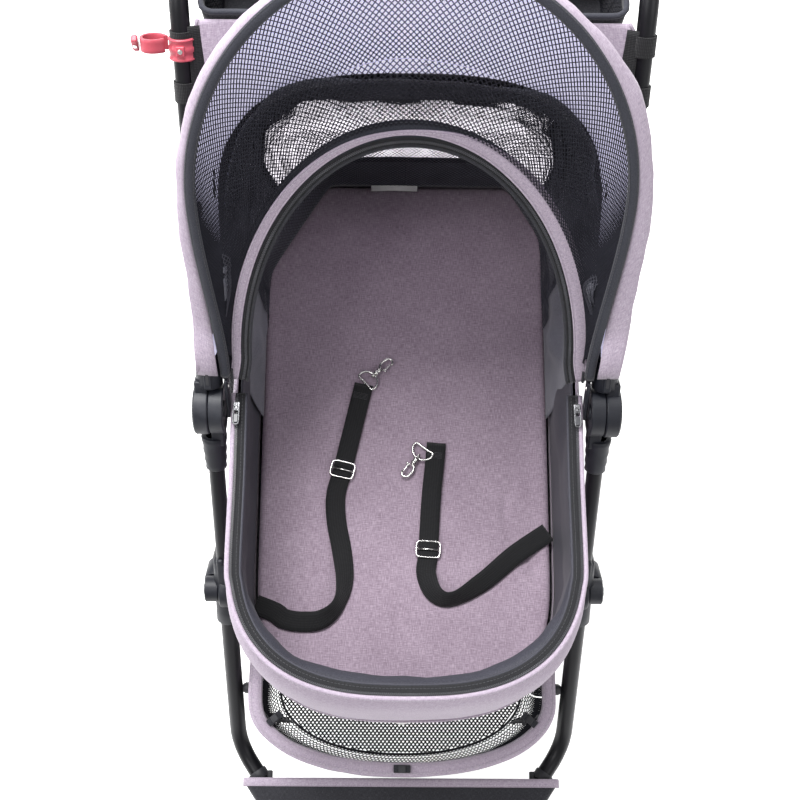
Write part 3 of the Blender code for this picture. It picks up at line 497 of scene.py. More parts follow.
def coil(name, pts, up, mat, body, pitch=0.0021, width=0.0052, height=0.0018, **k):
    """Zip teeth: two staggered rows that mesh in the middle."""
    w = width * 0.58
    a = blocks(name + "_a", pts, up, mat, body, pitch, (pitch * 0.62, w, height), aside=width * 0.21, **k)
    h = resample(pts, pitch)
    half = (h[:-1] + h[1:]) / 2
    blocks(name + "_b", half, up, mat, body, pitch, (pitch * 0.62, w, height), aside=-width * 0.21)
    return a


def turned(name, profile, origin, axis, mat, body, steps=64, **k):
    """A turned shape: profile points (radius, height) run round its closed section."""
    q = Vector((0, 0, 1)).rotation_difference(Vector(axis)).to_matrix()
    o = Vector(origin)
    rings = []
    for i in range(steps):
        a = math.tau * i / steps
        c, s = math.cos(a), math.sin(a)
        rings.append([tuple(o + q @ Vector((r * c, r * s, h))) for r, h in profile])
    return loft(name, rings, mat, body, closed=True, caps=False, **k)


def sharp(o, angle=35):
    o.data.set_sharp_from_angle(angle=math.radians(angle))
    return o


def block(name, centre, size, mat, body, bevel=0.001, turn=None, segments=3, **k):
    """A moulded block with rounded edges."""
    x, y, z = (s / 2 for s in size)
    v = [Vector((a * x, b * y, c * z)) for a, b, c in ((-1, -1, -1), (1, -1, -1), (1, 1, -1), (-1, 1, -1), (-1, -1, 1), (1, -1, 1), (1, 1, 1), (-1, 1, 1))]
    if turn is not None:
        v = [turn @ q for q in v]
    v = [tuple(q + Vector(centre)) for q in v]
    f = [(3, 2, 1, 0), (4, 5, 6, 7), (0, 1, 5, 4), (1, 2, 6, 5), (2, 3, 7, 6), (3, 0, 4, 7)]
    uvs = [(0, 0), (size[0], 0), (size[0], size[1]), (0, size[1])] * 6
    o = place(name, v, f, mat, body, uvs, **k)
    b = o.modifiers.new("edges", "BEVEL")
    b.width, b.segments = min(bevel, 0.45 * min(size)), segments
    b.harden_normals = True
    return o


def net(name, surface, pitch, row, width, thick, mat, body=None, hexed=True, lift=0.0, part=(0.0, 1.0), keep=None, **k):
    """A knotted net of real strands laid over a surface given as rows of points. pitch is along the rows and row between strands.
    keep(a, b), with a down the rows and b along them from 0 to 1, says where the net is."""
    R = np.array([[tuple(p) for p in r] for r in surface], float)
    m, n, _ = R.shape
    length = np.linalg.norm(np.diff(R, axis=1), axis=2).sum(axis=1).mean()
    depth = np.linalg.norm(np.diff(R, axis=0), axis=2).sum(axis=0)
    depth = np.percentile(depth, 70)
    nu, nv = max(2, int(round(length / pitch))), max(2, int(round(depth / row)))

    def at(a, b):
        x, y = np.clip(a, 0, 1) * (m - 1), np.clip(b, 0, 1) * (n - 1)
        i, j = np.minimum(x.astype(int), m - 2), np.minimum(y.astype(int), n - 2)
        f, g = (x - i)[:, None], (y - j)[:, None]
        return R[i, j] * (1 - f) * (1 - g) + R[i + 1, j] * f * (1 - g) + R[i, j + 1] * (1 - f) * g + R[i + 1, j + 1] * f * g

    verts, faces = [], []
    amp = 0.5 - 0.42 * width / row
    flat = 0.16
    for s in range(nv + 1):
        base = []
        for i in range(nu):
            for q, d in ((0.0, 1), (flat, 1), (0.5, -1), (0.5 + flat, -1)):
                sign = d if s % 2 == 0 else -d
                base.append(((s + sign * amp) / nv, (i + q) / nu))
        if not hexed:
            base = [((s + (0.5 if j % 2 else -0.5)) / nv, j / (2 * nu)) for j in range(2 * nu)] if s % 2 else [((s - (0.5 if j % 2 else -0.5)) / nv, j / (2 * nu)) for j in range(2 * nu)]
        ab = np.array(base)
        ok = (ab[:, 1] >= part[0] - 1e-9) & (ab[:, 1] <= part[1] + 1e-9) & (ab[:, 0] >= -0.6 / nv) & (ab[:, 0] <= 1 + 0.6 / nv)
        if keep is not None:
            ok &= np.array([keep(a, b) for a, b in ab])
        P = at(ab[:, 0], ab[:, 1])
        e = 0.004
        N = np.cross(at(ab[:, 0] + e, ab[:, 1]) - at(ab[:, 0] - e, ab[:, 1]), at(ab[:, 0], ab[:, 1] + e) - at(ab[:, 0], ab[:, 1] - e))
        N /= np.linalg.norm(N, axis=1, keepdims=True) + 1e-12
        T = np.gradient(P, axis=0)
        T /= np.linalg.norm(T, axis=1, keepdims=True) + 1e-12
        B = np.cross(N, T)
        P = P + N * lift
        ring = np.stack([P + B * width / 2 - N * thick * 0.3, P + N * thick * 0.6, P - B * width / 2 - N * thick * 0.3], axis=1)
        start = None
        idx = []
        for j in range(len(P)):
            if ok[j]:
                idx.append(j)
            if (not ok[j] or j == len(P) - 1) and idx:
                if len(idx) > 1:
                    q = len(verts)
                    verts.extend(ring[idx[0]:idx[-1] + 1].reshape(-1, 3).tolist())
                    for t in range(len(idx) - 1):
                        for c in range(3):
                            d = (c + 1) % 3
                            faces.append((q + 3 * t + c, q + 3 * t + d, q + 3 * t + 3 + d, q + 3 * t + 3 + c))
                    faces.append((q + 2, q + 1, q))
                    z = q + 3 * (len(idx) - 1)
                    faces.append((z, z + 1, z + 2))
                idx = []
    o = place(name, verts, faces, mat, body, None, smooth=True, **k)
    return o


def screw_head(name, centre, axis, r, mat, body, h=0.0022):
    return sharp(turned(name, [(0.0001, h), (r * 0.55, h), (r * 0.92, h * 0.75), (r, h * 0.2), (r, 0), (0.0001, 0)], centre, axis, mat, body, 24), 50)


# ------------------------------------------------------------------ camera, light and floor
cam_data = bpy.data.cameras.new("camera")
cam_data.lens, cam_data.sensor_width = 56.25, 36.0
cam_data.clip_start, cam_data.clip_end = 0.05, 30
camera = bpy.data.objects.new("camera", cam_data)
scene.collection.objects.link(camera)
scene.camera = camera
_a, _r = 0.0086, 0.0083
_f, _u, _x = Vector((0, 0.3420, -0.9397)), Vector((0, 0.9397, 0.3420)), Vector((1, 0, 0))
_f2, _x2 = _f * math.cos(_a) + _x * math.sin(_a), _x * math.cos(_a) - _f * math.sin(_a)
_u3, _x3 = _u * math.cos(_r) - _x2 * math.sin(_r), _x2 * math.cos(_r) + _u * math.sin(_r)
camera.matrix_world = Matrix.Translation(W(-0.0206, -0.483, 1.360)) @ Matrix((_x3, _u3, -_f2)).transposed().to_4x4()

scene.view_settings.view_transform = "Standard"
scene.view_settings.look = "None"
scene.view_settings.exposure = 0.0
world = scene.world or bpy.data.worlds.new("world")
scene.world = world
world.use_nodes = True
world.node_tree.nodes["Background"].inputs["Color"].default_value = (1, 1, 1, 1)
world.node_tree.nodes["Background"].inputs["Strength"].default_value = 0.62


def area(name, at, to, size, power, color=(1, 1, 1)):
    d = bpy.data.lights.new(name, "AREA")
    d.shape, d.size, d.energy, d.color = "DISK", size, power, color
    o = bpy.data.objects.new(name, d)
    scene.collection.objects.link(o)
    o.location = at
    o.rotation_euler = (Vector(to) - Vector(at)).to_track_quat("-Z", "Y").to_euler()
    return o


area("key", (-1.3, -0.9, 2.7), (0, 0.1, 0.7), 1.3, 22)
area("overhead", (-0.45, 1.0, 2.55), (0.0, -0.15, 0.5), 1.1, 84)
area("fill", (1.7, -0.7, 2.2), (0, 0.1, 0.7), 1.6, 17)
area("back", (0.2, 2.0, 2.2), (0, 0.1, 0.7), 1.5, 18)

area("side", (-2.3, 0.5, 1.5), (-0.2, 0.2, 1.0), 1.0, 30)

floor_mat, _nt, _b = material("studio_floor", (0.93, 0.93, 0.93), 0.7, 0.0, Emission_Strength=0.55)
_b.inputs["Emission Color"].default_value = (1, 1, 1, 1)
_t = Tree(_nt)
_t.K(_t.span(_t.noise(_t.coord("Object", (3, 3, 3))), 0.66, 0.74), _b.inputs["Roughness"])
floor = place("studio_floor", [(-6, -6, 0), (6, -6, 0), (6, 6, 0), (-6, 6, 0)], [(0, 1, 2, 3)], floor_mat)

# ------------------------------------------------------------------ safety tethers
LIE = PAD_TOP + 0.0016
ROUTES = {
    "l": [(-0.1850, -0.1912), (-0.1600, -0.2010), (-0.1480, -0.2090), (-0.1263, -0.2128), (-0.1016, -0.2102), (-0.0815, -0.1930),
          (-0.0745, -0.1624), (-0.0786, -0.1242), (-0.0865, -0.0841), (-0.0880, -0.0500), (-0.0796, -0.0150),
          (-0.0660, 0.0480), (-0.0545, 0.1000)],
    "r": [(0.1825, -0.0968), (0.1398, -0.1264), (0.0980, -0.1620), (0.0600, -0.1850), (0.0380, -0.1780),
          (0.0275, -0.1520), (0.0299, -0.1247), (0.0340, -0.0555), (0.0385, -0.0100), (0.0410, 0.0190)],
}
ROLLS = {"l": [0, 0, 0, -8, -30, -64, -34, -6, 0, 0, 4, 2, 0], "r": [0, 8, 26, 62, 40, 8, 0, 0, -3, 0]}
AHEAD = {"l": Vector((0.73, 0.68, 0)).normalized(), "r": Vector((-0.585, -0.81, 0)).normalized()}
RING_AT = {"l": Vector((0.0020, 0.0030, 0.0034)), "r": Vector((-0.0150, -0.0060, 0.0034))}
for tag, sx in SIDES:
    flat_pts = [W(x, y, LIE) for x, y in ROUTES[tag]]
    route = smoothed(flat_pts, 0.004)
    known = resample(flat_pts, 0.0005)
    near = [int(np.argmin(np.linalg.norm(route - np.array(tuple(p)), axis=1))) for p in flat_pts]
    roll = np.interp(np.arange(len(route)), near, np.radians(ROLLS[tag]))
    roll = np.convolve(np.pad(roll, 3, mode="edge"), np.ones(7) / 7, "valid")
    route[:, 2] += 0.0122 * np.abs(np.sin(roll))
    strap = ribbon(f"tether_webbing_{tag}", route, 0.025, 0.0022, WEB, "chassis", roll=roll, replaces=(f"tether_strap_{tag}",), slot="webbing")
    end = Vector(flat_pts[-1])
    # doubled webbing from the ring back to the tri-glide
    back = 0.118 if tag == "l" else 0.140
    last = [p for p in route if (Vector(p) - end).length < back]
    layer = np.array(last) + np.array([0, 0, 0.0023])
    extra = [ribbon(f"tether_fold_{tag}", layer, 0.0246, 0.0018, WEB, "chassis", slot="webbing")]
    # the fold round the ring's bar
    ahead = (Vector(route[-1]) - Vector(route[-4])).normalized()
    side = ahead.cross(Vector((0, 0, 1))).normalized()
    fold = [end + ahead * (0.0030 * math.sin(a)) + Vector((0, 0, 0.0011 - 0.0013 * math.cos(a))) for a in np.linspace(0.15, math.pi - 0.15, 7)]
    extra.append(ribbon(f"tether_end_{tag}", fold, 0.0246, 0.0012, WEB, "chassis", up=tuple(side.cross(ahead)), slot="webbing") if False else
                 sweep(f"tether_end_{tag}", [end - side * 0.0122 + Vector((0, 0, 0.0011)), end + Vector((0, 0, 0.0011)), end + side * 0.0122 + Vector((0, 0, 0.0011))], 0.0021, WEB, "chassis", sides=14, slot="webbing"))
    # bar tack
    for j in range(5):
        q = end - ahead * (0.012 + 0.0018 * j) + Vector((0, 0, 0.0036))
        extra.append(blocks(f"tether_tack_{tag}_{j}", [q - side * 0.0095, q + side * 0.0095], (0, 0, 1), THREAD_BLACK, "chassis", 0.0016, (0.0013, 0.0006, 0.0005)))
    # tri-glide buckle: two windows and a middle bar
    k = min(range(len(route)), key=lambda i: abs((Vector(route[i]) - end).length - back))
    t = Vector(route[k + 1] - route[k - 1]).normalized()
    s = t.cross(Vector((0, 0, 1))).normalized()
    c = Vector(route[k]) + Vector((0, 0, 0.0031))
    frame_pts = []
    for i in range(40):  # a rounded rectangle
        w = math.tau * i / 40
        x, y = math.cos(w), math.sin(w)
        frame_pts.append(c + s * (0.0150 * math.copysign(abs(x) ** 0.35, x)) + t * (0.0104 * math.copysign(abs(y) ** 0.35, y)))
    glide = sweep(f"tether_glide_{tag}", resample(frame_pts, 0.0012, True), 0.0012, NICKEL, "chassis", sides=12, closed=True, replaces=(f"tether_slider_{tag}",), slot="nickel")
    bar = sweep(f"tether_glide_bar_{tag}", [c - s * 0.0143 + Vector((0, 0, 0.0004)), c + s * 0.0143 + Vector((0, 0, 0.0004))], 0.0012, NICKEL, "chassis", sides=12, slot="nickel")
    # D ring
    ahead = AHEAD[tag]
    side = ahead.cross(Vector((0, 0, 1))).normalized()
    base = end + RING_AT[tag]
    dee = [base + side * 0.0128, base + side * 0.0064, base, base - side * 0.0064, base - side * 0.0128]
    for i in range(1, 18):
        a = math.pi * i / 18
        dee.append(base + ahead * (0.003 + 0.0135 * math.sin(a)) - side * 0.0142 * math.cos(a))
    ring = sweep(f"tether_dee_{tag}", smoothed(dee, 0.0011, True), 0.00145, NICKEL, "chassis", sides=14, closed=True, replaces=(f"tether_ring_{tag}",), slot="nickel")
    # snap hook: ring eye, swivel barrel, body and sprung gate
    b = base + ahead * 0.0165 + Vector((0, 0, 0.0012))
    parts = [turned(f"tether_barrel_{tag}", [(0.0001, 0.0105), (0.0026, 0.0105), (0.0036, 0.0092), (0.0038, 0.0070), (0.0031, 0.0060), (0.0038, 0.0050), (0.0040, 0.0022), (0.0030, 0.0006), (0.0018, 0.0), (0.0001, 0.0)], b, ahead, NICKEL, "chassis", 28, slot="nickel")]
    eye = [b + ahead * (-0.0022 + 0.0030 * math.cos(a)) + Vector((0, 0, 0.0030 * math.sin(a))) for a in np.linspace(0, math.tau, 18, endpoint=False)]
    parts.append(sweep(f"tether_eye_{tag}", eye, 0.0011, NICKEL, "chassis", sides=10, closed=True, slot="nickel"))
    n0 = b + ahead * 0.0100
    hook = [n0, n0 + ahead * 0.0015 - side * 0.0006, n0 + ahead * 0.0030 - side * 0.0036, n0 + ahead * 0.0070 - side * 0.0056, n0 + ahead * 0.0130 - side * 0.0056,
            n0 + ahead * 0.0180 - side * 0.0044, n0 + ahead * 0.0205 - side * 0.0010, n0 + ahead * 0.0200 + side * 0.0026, n0 + ahead * 0.0172 + side * 0.0048, n0 + ahead * 0.0150 + side * 0.0050]
    hook = smoothed(hook, 0.0008)
    parts.append(sweep(f"tether_snap_{tag}", hook, 0.0016, NICKEL, "chassis", sides=14, up=(0, 0, 1), radii=np.interp(np.linspace(0, 1, len(hook)), [0, 0.1, 0.5, 0.9, 1], [1.3, 1.05, 1.1, 1.0, 0.8]), replaces=(f"tether_hook_{tag}",), slot="nickel"))
    gate = [n0 + ahead * 0.0020 + side * 0.0024, n0 + ahead * 0.0060 + side * 0.0044, n0 + ahead * 0.0148 + side * 0.0036]
    parts.append(sweep(f"tether_gate_{tag}", smoothed(gate, 0.0012), 0.0011, NICKEL, "chassis", sides=12, slot="nickel"))
    knob = n0 + ahead * 0.0035 + side * 0.0034
    parts.append(turned(f"tether_knob_{tag}", [(0.0001, 0.0042), (0.0010, 0.0042), (0.0013, 0.0034), (0.0013, 0.0), (0.0001, 0.0)], knob, side, NICKEL, "chassis", 16, slot="nickel"))


# ------------------------------------------------------------------ shapes shared with the CAD
def outline(hw, yf, yr, front, n=2.7, rear_r=0.055, taper=0.0, steps=56, corner=12, side=22):
    def widen(x, y):
        return x * (1 + taper * (y - yf) / (yr - yf))

    pts = []
    for i in range(steps + 1):
        t = math.pi * i / steps
        c, s = math.cos(t), math.sin(t)
        pts.append((hw * math.copysign(abs(c) ** (2 / n), c), yf + front - front * abs(s) ** (2 / n)))
    y0, y1 = yf + front, yr - rear_r
    for i in range(1, side):
        pts.append((-hw, y0 + (y1 - y0) * i / side))
    for i in range(corner + 1):
        t = math.pi / 2 * i / corner
        pts.append((-(hw - rear_r) - rear_r * math.cos(t), y1 + rear_r * math.sin(t)))
    for i in range(1, 26):
        pts.append((-(hw - rear_r) + 2 * (hw - rear_r) * i / 26, yr))
    for i in range(corner + 1):
        t = math.pi / 2 * (1 - i / corner)
        pts.append(((hw - rear_r) + rear_r * math.cos(t), y1 + rear_r * math.sin(t)))
    for i in range(1, side):
        pts.append((hw, y1 + (y0 - y1) * i / side))
    return [(widen(x, y), y) for x, y in pts]


def arch(deg, apex, half, base, knee=0.27, n=2.0, start=0.05, cols=97):
    """A bow in the plane at an angle about the hub axis, from +X over the top to -X, in equal steps."""
    a = math.radians(deg)
    side = []
    for i in range(24):
        t = i / 24
        side.append((base + (half - base) * t * t * (3 - 2 * t), start + (knee - start) * t))
    pts = list(side)
    for i in range(121):
        t = math.pi * i / 120
        c, s = math.cos(t), math.sin(t)
        pts.append((half * math.copysign(abs(c) ** (2 / n), c), knee + (apex - knee) * abs(s) ** (2 / n)))
    pts += [(-x, r) for x, r in reversed(side)]
    P = np.array(pts)
    d = np.concatenate([[0], np.cumsum(np.linalg.norm(np.diff(P, axis=0), axis=1))])
    t = np.linspace(0, d[-1], cols)
    return [W(x, r * math.cos(a), r * math.sin(a)) for x, r in zip(np.interp(t, d, P[:, 0]), np.interp(t, d, P[:, 1]))]


def table_at(table, key):
    """A row of a table of shapes at any value of its first column, smoothly between the rows."""
    T = np.array(sorted(table), float)
    k = T[:, 0]
    i = int(np.clip(np.searchsorted(k, key) - 1, 0, len(k) - 2))
    t = float(np.clip((key - k[i]) / (k[i + 1] - k[i]), 0, 1))
    p1, p2 = T[i, 1:], T[i + 1, 1:]
    m1 = (T[i + 1, 1:] - T[max(i - 1, 0), 1:]) / (k[i + 1] - k[max(i - 1, 0)]) * (k[i + 1] - k[i])
    m2 = (T[min(i + 2, len(k) - 1), 1:] - T[i, 1:]) / (k[min(i + 2, len(k) - 1)] - k[i]) * (k[i + 1] - k[i])
    return (2 * t**3 - 3 * t**2 + 1) * p1 + (t**3 - 2 * t**2 + t) * m1 + (3 * t**2 - 2 * t**3) * p2 + (t**3 - t**2) * m2


def soft(p, size, seed=0.0):
    return noise.noise(Vector(p) / size + Vector((seed, seed * 1.7, -seed)))


# ------------------------------------------------------------------ floor pad
PAD = dict(hw=0.1820, yf=-0.3215, yr=0.4020, taper=0.050, front=0.175, n=2.7, rear_r=0.055)
base = np.array(outline(**PAD))
mid = np.array([0.0, 0.05])
dist = np.linalg.norm(base - mid, axis=1, keepdims=True)
rows, profile = [], [(0.006, -0.2083), (0.0022, -0.2070), (0.0004, -0.2040), (0.0, -0.2000), (0.0004, -0.1965), (0.0018, -0.1938), (0.0045, -0.1918), (0.0085, -0.1907)]
for inset, z in profile:
    rows.append([W(*(mid + (p - mid) * (1 - inset / d)), z) for p, d in zip(base, dist[:, 0])])
for k in range(1, 41):
    f = 1 - k / 41
    row = []
    for p, d in zip(base, dist[:, 0]):
        q = mid + (p - mid) * (1 - 0.0085 / d) * f
        e = d * (1 - f)
        w = Vector((q[0], q[1], 0))
        dip = 0.0022 * max(0.0, soft(w, 0.085, 3)) + 0.0013 * max(0.0, soft(w, 0.035, 8))
        # long soft dents that run in from the edges
        edge = math.exp(-max(0.0, (1 - f) * d) / 0.05)
        dip += 0.0016 * edge * (0.5 + 0.5 * math.sin(40 * math.atan2(q[1] - mid[1], q[0]) / math.tau * 2.2 + 4 * soft(w, 0.1, 5)))
        # the crease by the right wall, and a faint one along the rear
        r = math.hypot(q[0] - 0.205, q[1] + 0.075)
        a = math.atan2(q[1] + 0.075, q[0] - 0.205)
        if -2.9 < a < -1.2 or a > 2.4:
            dip += 0.0040 * math.exp(-((r - 0.078) / 0.0045) ** 2)
        r2 = abs(q[1] - 0.345 + 0.35 * (q[0] + 0.06) ** 2 * 6)
        dip += 0.0018 * math.exp(-((r2) / 0.010) ** 2) * max(0.0, 1 - abs(q[0] + 0.03) / 0.13)
        row.append(W(q[0], q[1], PAD_TOP - 0.0002 - dip * min(1.0, e / 0.02)))
    rows.append(row)
pad = grid("pad_cushion", rows, PADCLOTH, "chassis", closed=True, replaces=("floor_pad",), slot="pad_cloth")
ringpts = rows[-1]
_me = pad.data
# planar UVs keep the cross weave straight over the pad
_uv = _me.uv_layers[0].data
for poly in _me.polygons:
    for li in poly.loop_indices:
        co = _me.vertices[_me.loops[li].vertex_index].co
        _uv[li].uv = (co.x, co.y)
cap = place("pad_centre", [tuple(p) for p in ringpts], [list(range(len(ringpts)))[::-1]], PADCLOTH, "chassis",
            [(p.x, p.y) for p in reversed(ringpts)], slot="pad_cloth")
board = np.array(outline(0.1755, -0.316, 0.401, 0.175, 2.7, 0.055, 0.062))
ring_b = [[W(x, y, z) for x, y in board] for z in (-0.2126, -0.2120, -0.2092, -0.2088)]
o = grid("floor_stiffener", ring_b, BOARD, "chassis", closed=True, replaces=("floor_board",), slot="board")
place("floor_stiffener_faces", [tuple(p) for p in ring_b[-1]] + [tuple(p) for p in ring_b[0]],
      [list(range(len(board)))[::-1], [len(board) + i for i in range(len(board))]], BOARD, "chassis",
      [(p.x, p.y) for p in reversed(ring_b[-1])] + [(p.x, p.y) for p in ring_b[0]], smooth=False, slot="board")

# ------------------------------------------------------------------ cabin walls
CAB = dict(front=0.175, n=2.7, rear_r=0.055)
LEVELS = [(-0.217, 0.1850, -0.325, 0.408, 0.060), (-0.165, 0.1945, -0.334, 0.409, 0.030), (-0.090, 0.2020, -0.3365, 0.409, 0.012),
          (-0.034, 0.2040, -0.3350, 0.409, 0.010), (-0.006, 0.1965, -0.324, 0.405, 0.020)]


def cabin_ring(z, inset=0.0, wrinkle=0.0, seed=0.0):
    hw, yf, yr, tp = table_at(LEVELS, z)
    out = []
    for x, y in outline(hw - inset, yf + inset, yr - inset, taper=tp, **CAB):
        d = Vector((x, y - 0.04, 0)).normalized()
        q = wrinkle * (soft((x, y, z * 0.5), 0.10, seed) + 0.5 * soft((x, y, z), 0.035, seed + 4))
        out.append(W(x + d.x * q, y + d.y * q, z))
    return out


zs = list(np.linspace(-0.006, -0.034, 7)) + list(np.linspace(-0.045, -0.165, 12)) + list(np.linspace(-0.175, -0.213, 5))
rows = [cabin_ring(z, 0.0, -0.0030 * math.sin(math.pi * min(1, max(0, (-z - 0.006) / 0.2))) ** 0.5 if z < -0.01 else 0.0, 2.0) for z in zs]
shell_out = grid("cabin_cloth", rows, LILAC, "chassis", closed=True, thick=0.0016, offset=-1.0, replaces=("cabin_shell",), slot="lilac_cloth")
under = [cabin_ring(z, i) for z, i in ((-0.2130, 0.0), (-0.2155, 0.0015), (-0.2166, 0.006), (-0.2168, 0.03))]
bottom = grid("cabin_base_edge", under, BLACKCLOTH, "chassis", closed=True, slot="black_cloth")
place("cabin_base", [tuple(p) for p in under[-1]], [list(range(len(under[-1])))], BLACKCLOTH, "chassis",
      [(p.x, p.y) for p in under[-1]], slot="black_cloth")
# piping round the base and a seam band round the walls
for nm, z, r, mat, ins in (("cabin_base_piping", -0.2125, 0.0024, BLACKCLOTH, -0.0006), ("cabin_wall_piping", -0.1500, 0.0018, LILAC_DARK, -0.0002)):
    sweep(nm, resample(cabin_ring(z, ins), 0.008, True), r, mat, "chassis", sides=12, closed=True, slot="lilac_cloth")
for z in (-0.0125, -0.1460, -0.1540):
    ring = cabin_ring(z, -0.0012)
    blocks(f"cabin_stitches_{int(-z * 10000)}", ring + ring[:1], (0, 0, 1), THREAD, "chassis", 0.0044, (0.0030, 0.0009, 0.0006))
# eyelet under the front edge
eyelet = [W(0.0090 * math.cos(a) - 0.002, -0.3275 - 0.0040 * math.sin(a), -0.2150) for a in np.linspace(0, math.tau, 28, endpoint=False)]
sweep("cabin_eyelet", eyelet, 0.0014, LABEL, "chassis", sides=10, closed=True, slot="webbing")
# side panel seams, down the walls
for tag, sx in SIDES:
    for j, yy in enumerate((-0.150, 0.110, 0.330)):
        line = []
        for z in np.linspace(-0.012, -0.205, 22):
            ring = cabin_ring(z, -0.0010)
            line.append(min((p for p in ring if p.x * sx > 0), key=lambda p: abs(p.y - HUB_Y - yy)))
        line = smoothed([p for p in line[::3]], 0.006)
        sweep(f"cabin_seam_{tag}_{j}", line, 0.0012, LILAC_DARK, "chassis", sides=8, slot="lilac_cloth")

# black lining inside the walls, with the slack folds of a loose lining
def lining_ring(z, top, depth):
    hw, yf, yr, tp = table_at(LEVELS, z)
    out = []
    for x, y in outline(hw - 0.0052, yf + 0.0052, yr - 0.0052, taper=tp, **CAB):
        d = Vector((x, y - 0.04, 0)).normalized()
        s = math.atan2(y - 0.04, x)
        fold = 0.5 + 0.5 * math.sin(46 * s + 3.0 * soft((x, y, z), 0.07, 11) + 8 * z)
        q = -depth * (0.35 * fold + 0.65 * max(0.0, soft((x, y * 0.7, z * 0.6), 0.06, 6)) * 1.6)
        ahead_ = min(1.0, max(0.0, (-0.10 - y) / 0.18))
        roll_ = min(1.0, (-z - 0.0055) / 0.022) * min(1.0, max(0.0, (0.135 + z) / 0.09))
        q -= (0.0040 + 0.0230 * ahead_ * ahead_ * (3 - 2 * ahead_)) * math.sin(0.5 * math.pi * max(0.0, roll_)) ** 0.8 * (1 + 0.10 * soft((x, y, 0), 0.05, 14))
        out.append(W(x + d.x * q, y + d.y * q, z))
    return out


zs = list(np.linspace(-0.0055, -0.185, 26))
rows = [lining_ring(z, 0, 0.0085 * math.sin(math.pi * min(1.0, (-z - 0.0055) / 0.185)) ** 0.8) for z in zs]
lining = grid("cabin_lining", rows, BLACKLINE, "chassis", closed=True, thick=0.0008, offset=0.0, slot="black_cloth")

# ------------------------------------------------------------------ rim: tape, zip teeth and the lilac roll outside it
rim2 = [(x, y) for x, y in outline(0.1945, -0.322, 0.405, taper=0.030, **CAB)[:57]]
rim_line = smoothed([W(0.1972, 0.020, -0.0030), W(0.1960, -0.03, -0.0030), W(0.1950, -0.09, -0.0030)] + [W(x, y, -0.0030) for x, y in rim2[2:-2:2]] + [W(-0.1950, -0.09, -0.0030), W(-0.1960, -0.03, -0.0030), W(-0.1972, 0.020, -0.0030)], 0.004)
up_z = (0, 0, 1)
coil("rim_teeth", rim_line + np.array([0, 0, 0.0011]), up_z, ZIPTEETH, "chassis", width=0.0032, slot="zip")


def moved_out(pts, d, dz=0.0):
    P = np.array([tuple(p) for p in pts], float)
    _, T, S, _ = frames(P, False, up_z)
    return P + S * d + np.array([0, 0, dz])


_s = 1.0 if np.dot(moved_out(rim_line, 0.01)[len(rim_line) // 2] - rim_line[len(rim_line) // 2], np.array([0, -1, 0])) > 0 else -1.0
ribbon("rim_tape", moved_out(rim_line, -_s * 0.0040), 0.0115, 0.0010, ZIPTAPE, "chassis", up=up_z, replaces=("rim_zip",), slot="zip")
roll_line = moved_out(rim_line, _s * 0.0042, -0.0012)
sweep("rim_roll", roll_line, 0.0030, LILAC, "chassis", sides=14, slot="lilac_cloth")
blocks("rim_stitches", moved_out(rim_line, -_s * 0.0062, 0.0008), up_z, THREAD_BLACK, "chassis", 0.0040, (0.0027, 0.0006, 0.0005))
sweep("rim_lining_roll", moved_out(rim_line, -_s * 0.0104, -0.0012), 0.0019, BLACKLINE, "chassis", sides=12, slot="black_cloth")

for tag, sx in SIDES:
    c = W(sx * 0.1965, 0.002, 0.0006)
    b = f"slider_{tag}"
    block(f"zip_body_{tag}", c + Vector((0, 0, 0.0012)), (0.0084, 0.0115, 0.0026), GUNMETAL, b, 0.0012, replaces=(f"zip_slider_{tag}",), slot="nickel")
    block(f"zip_bridge_{tag}", c + Vector((0, 0, 0.0034)), (0.0026, 0.0085, 0.0016), GUNMETAL, b, 0.0006, slot="nickel")
    pull = smoothed([c + Vector(q) for q in ((-0.0024, -0.001, 0.0042), (0.0024, -0.001, 0.0042), (0.0034, -0.012, 0.0046), (0.0026, -0.0215, 0.0040), (-0.0026, -0.0215, 0.0040), (-0.0034, -0.012, 0.0046))], 0.0012, True)
    sweep(f"zip_pull_{tag}", pull, 0.0008, GUNMETAL, b, sides=10, closed=True, slot="nickel")
    block(f"zip_tab_{tag}", c + Vector((0, -0.0155, 0.0043)), (0.0052, 0.0105, 0.0014), ZIPTEETH, b, 0.0006, slot="zip")

# blank label at the rear wall
ribbon("care_label", [W(-0.048, 0.3925, -0.1812), W(-0.016, 0.3930, -0.1808), (W(0.016, 0.3925, -0.1812))], 0.0085, 0.0006, LABEL, "chassis", up=(0, -0.8, 0.6))


# ------------------------------------------------------------------ hood
def perp(deg, forward=0.0):
    """A unit vector square to the plane at an angle about the hub axis, pointing to smaller angles."""
    a = math.radians(deg)
    return Vector((0, math.sin(a), -math.cos(a)))


def hood_blend(o):
    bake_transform(o)
    return o


def base_blend(o):
    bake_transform(o)
    return o


def door_blend(o):
    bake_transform(o)
    return o


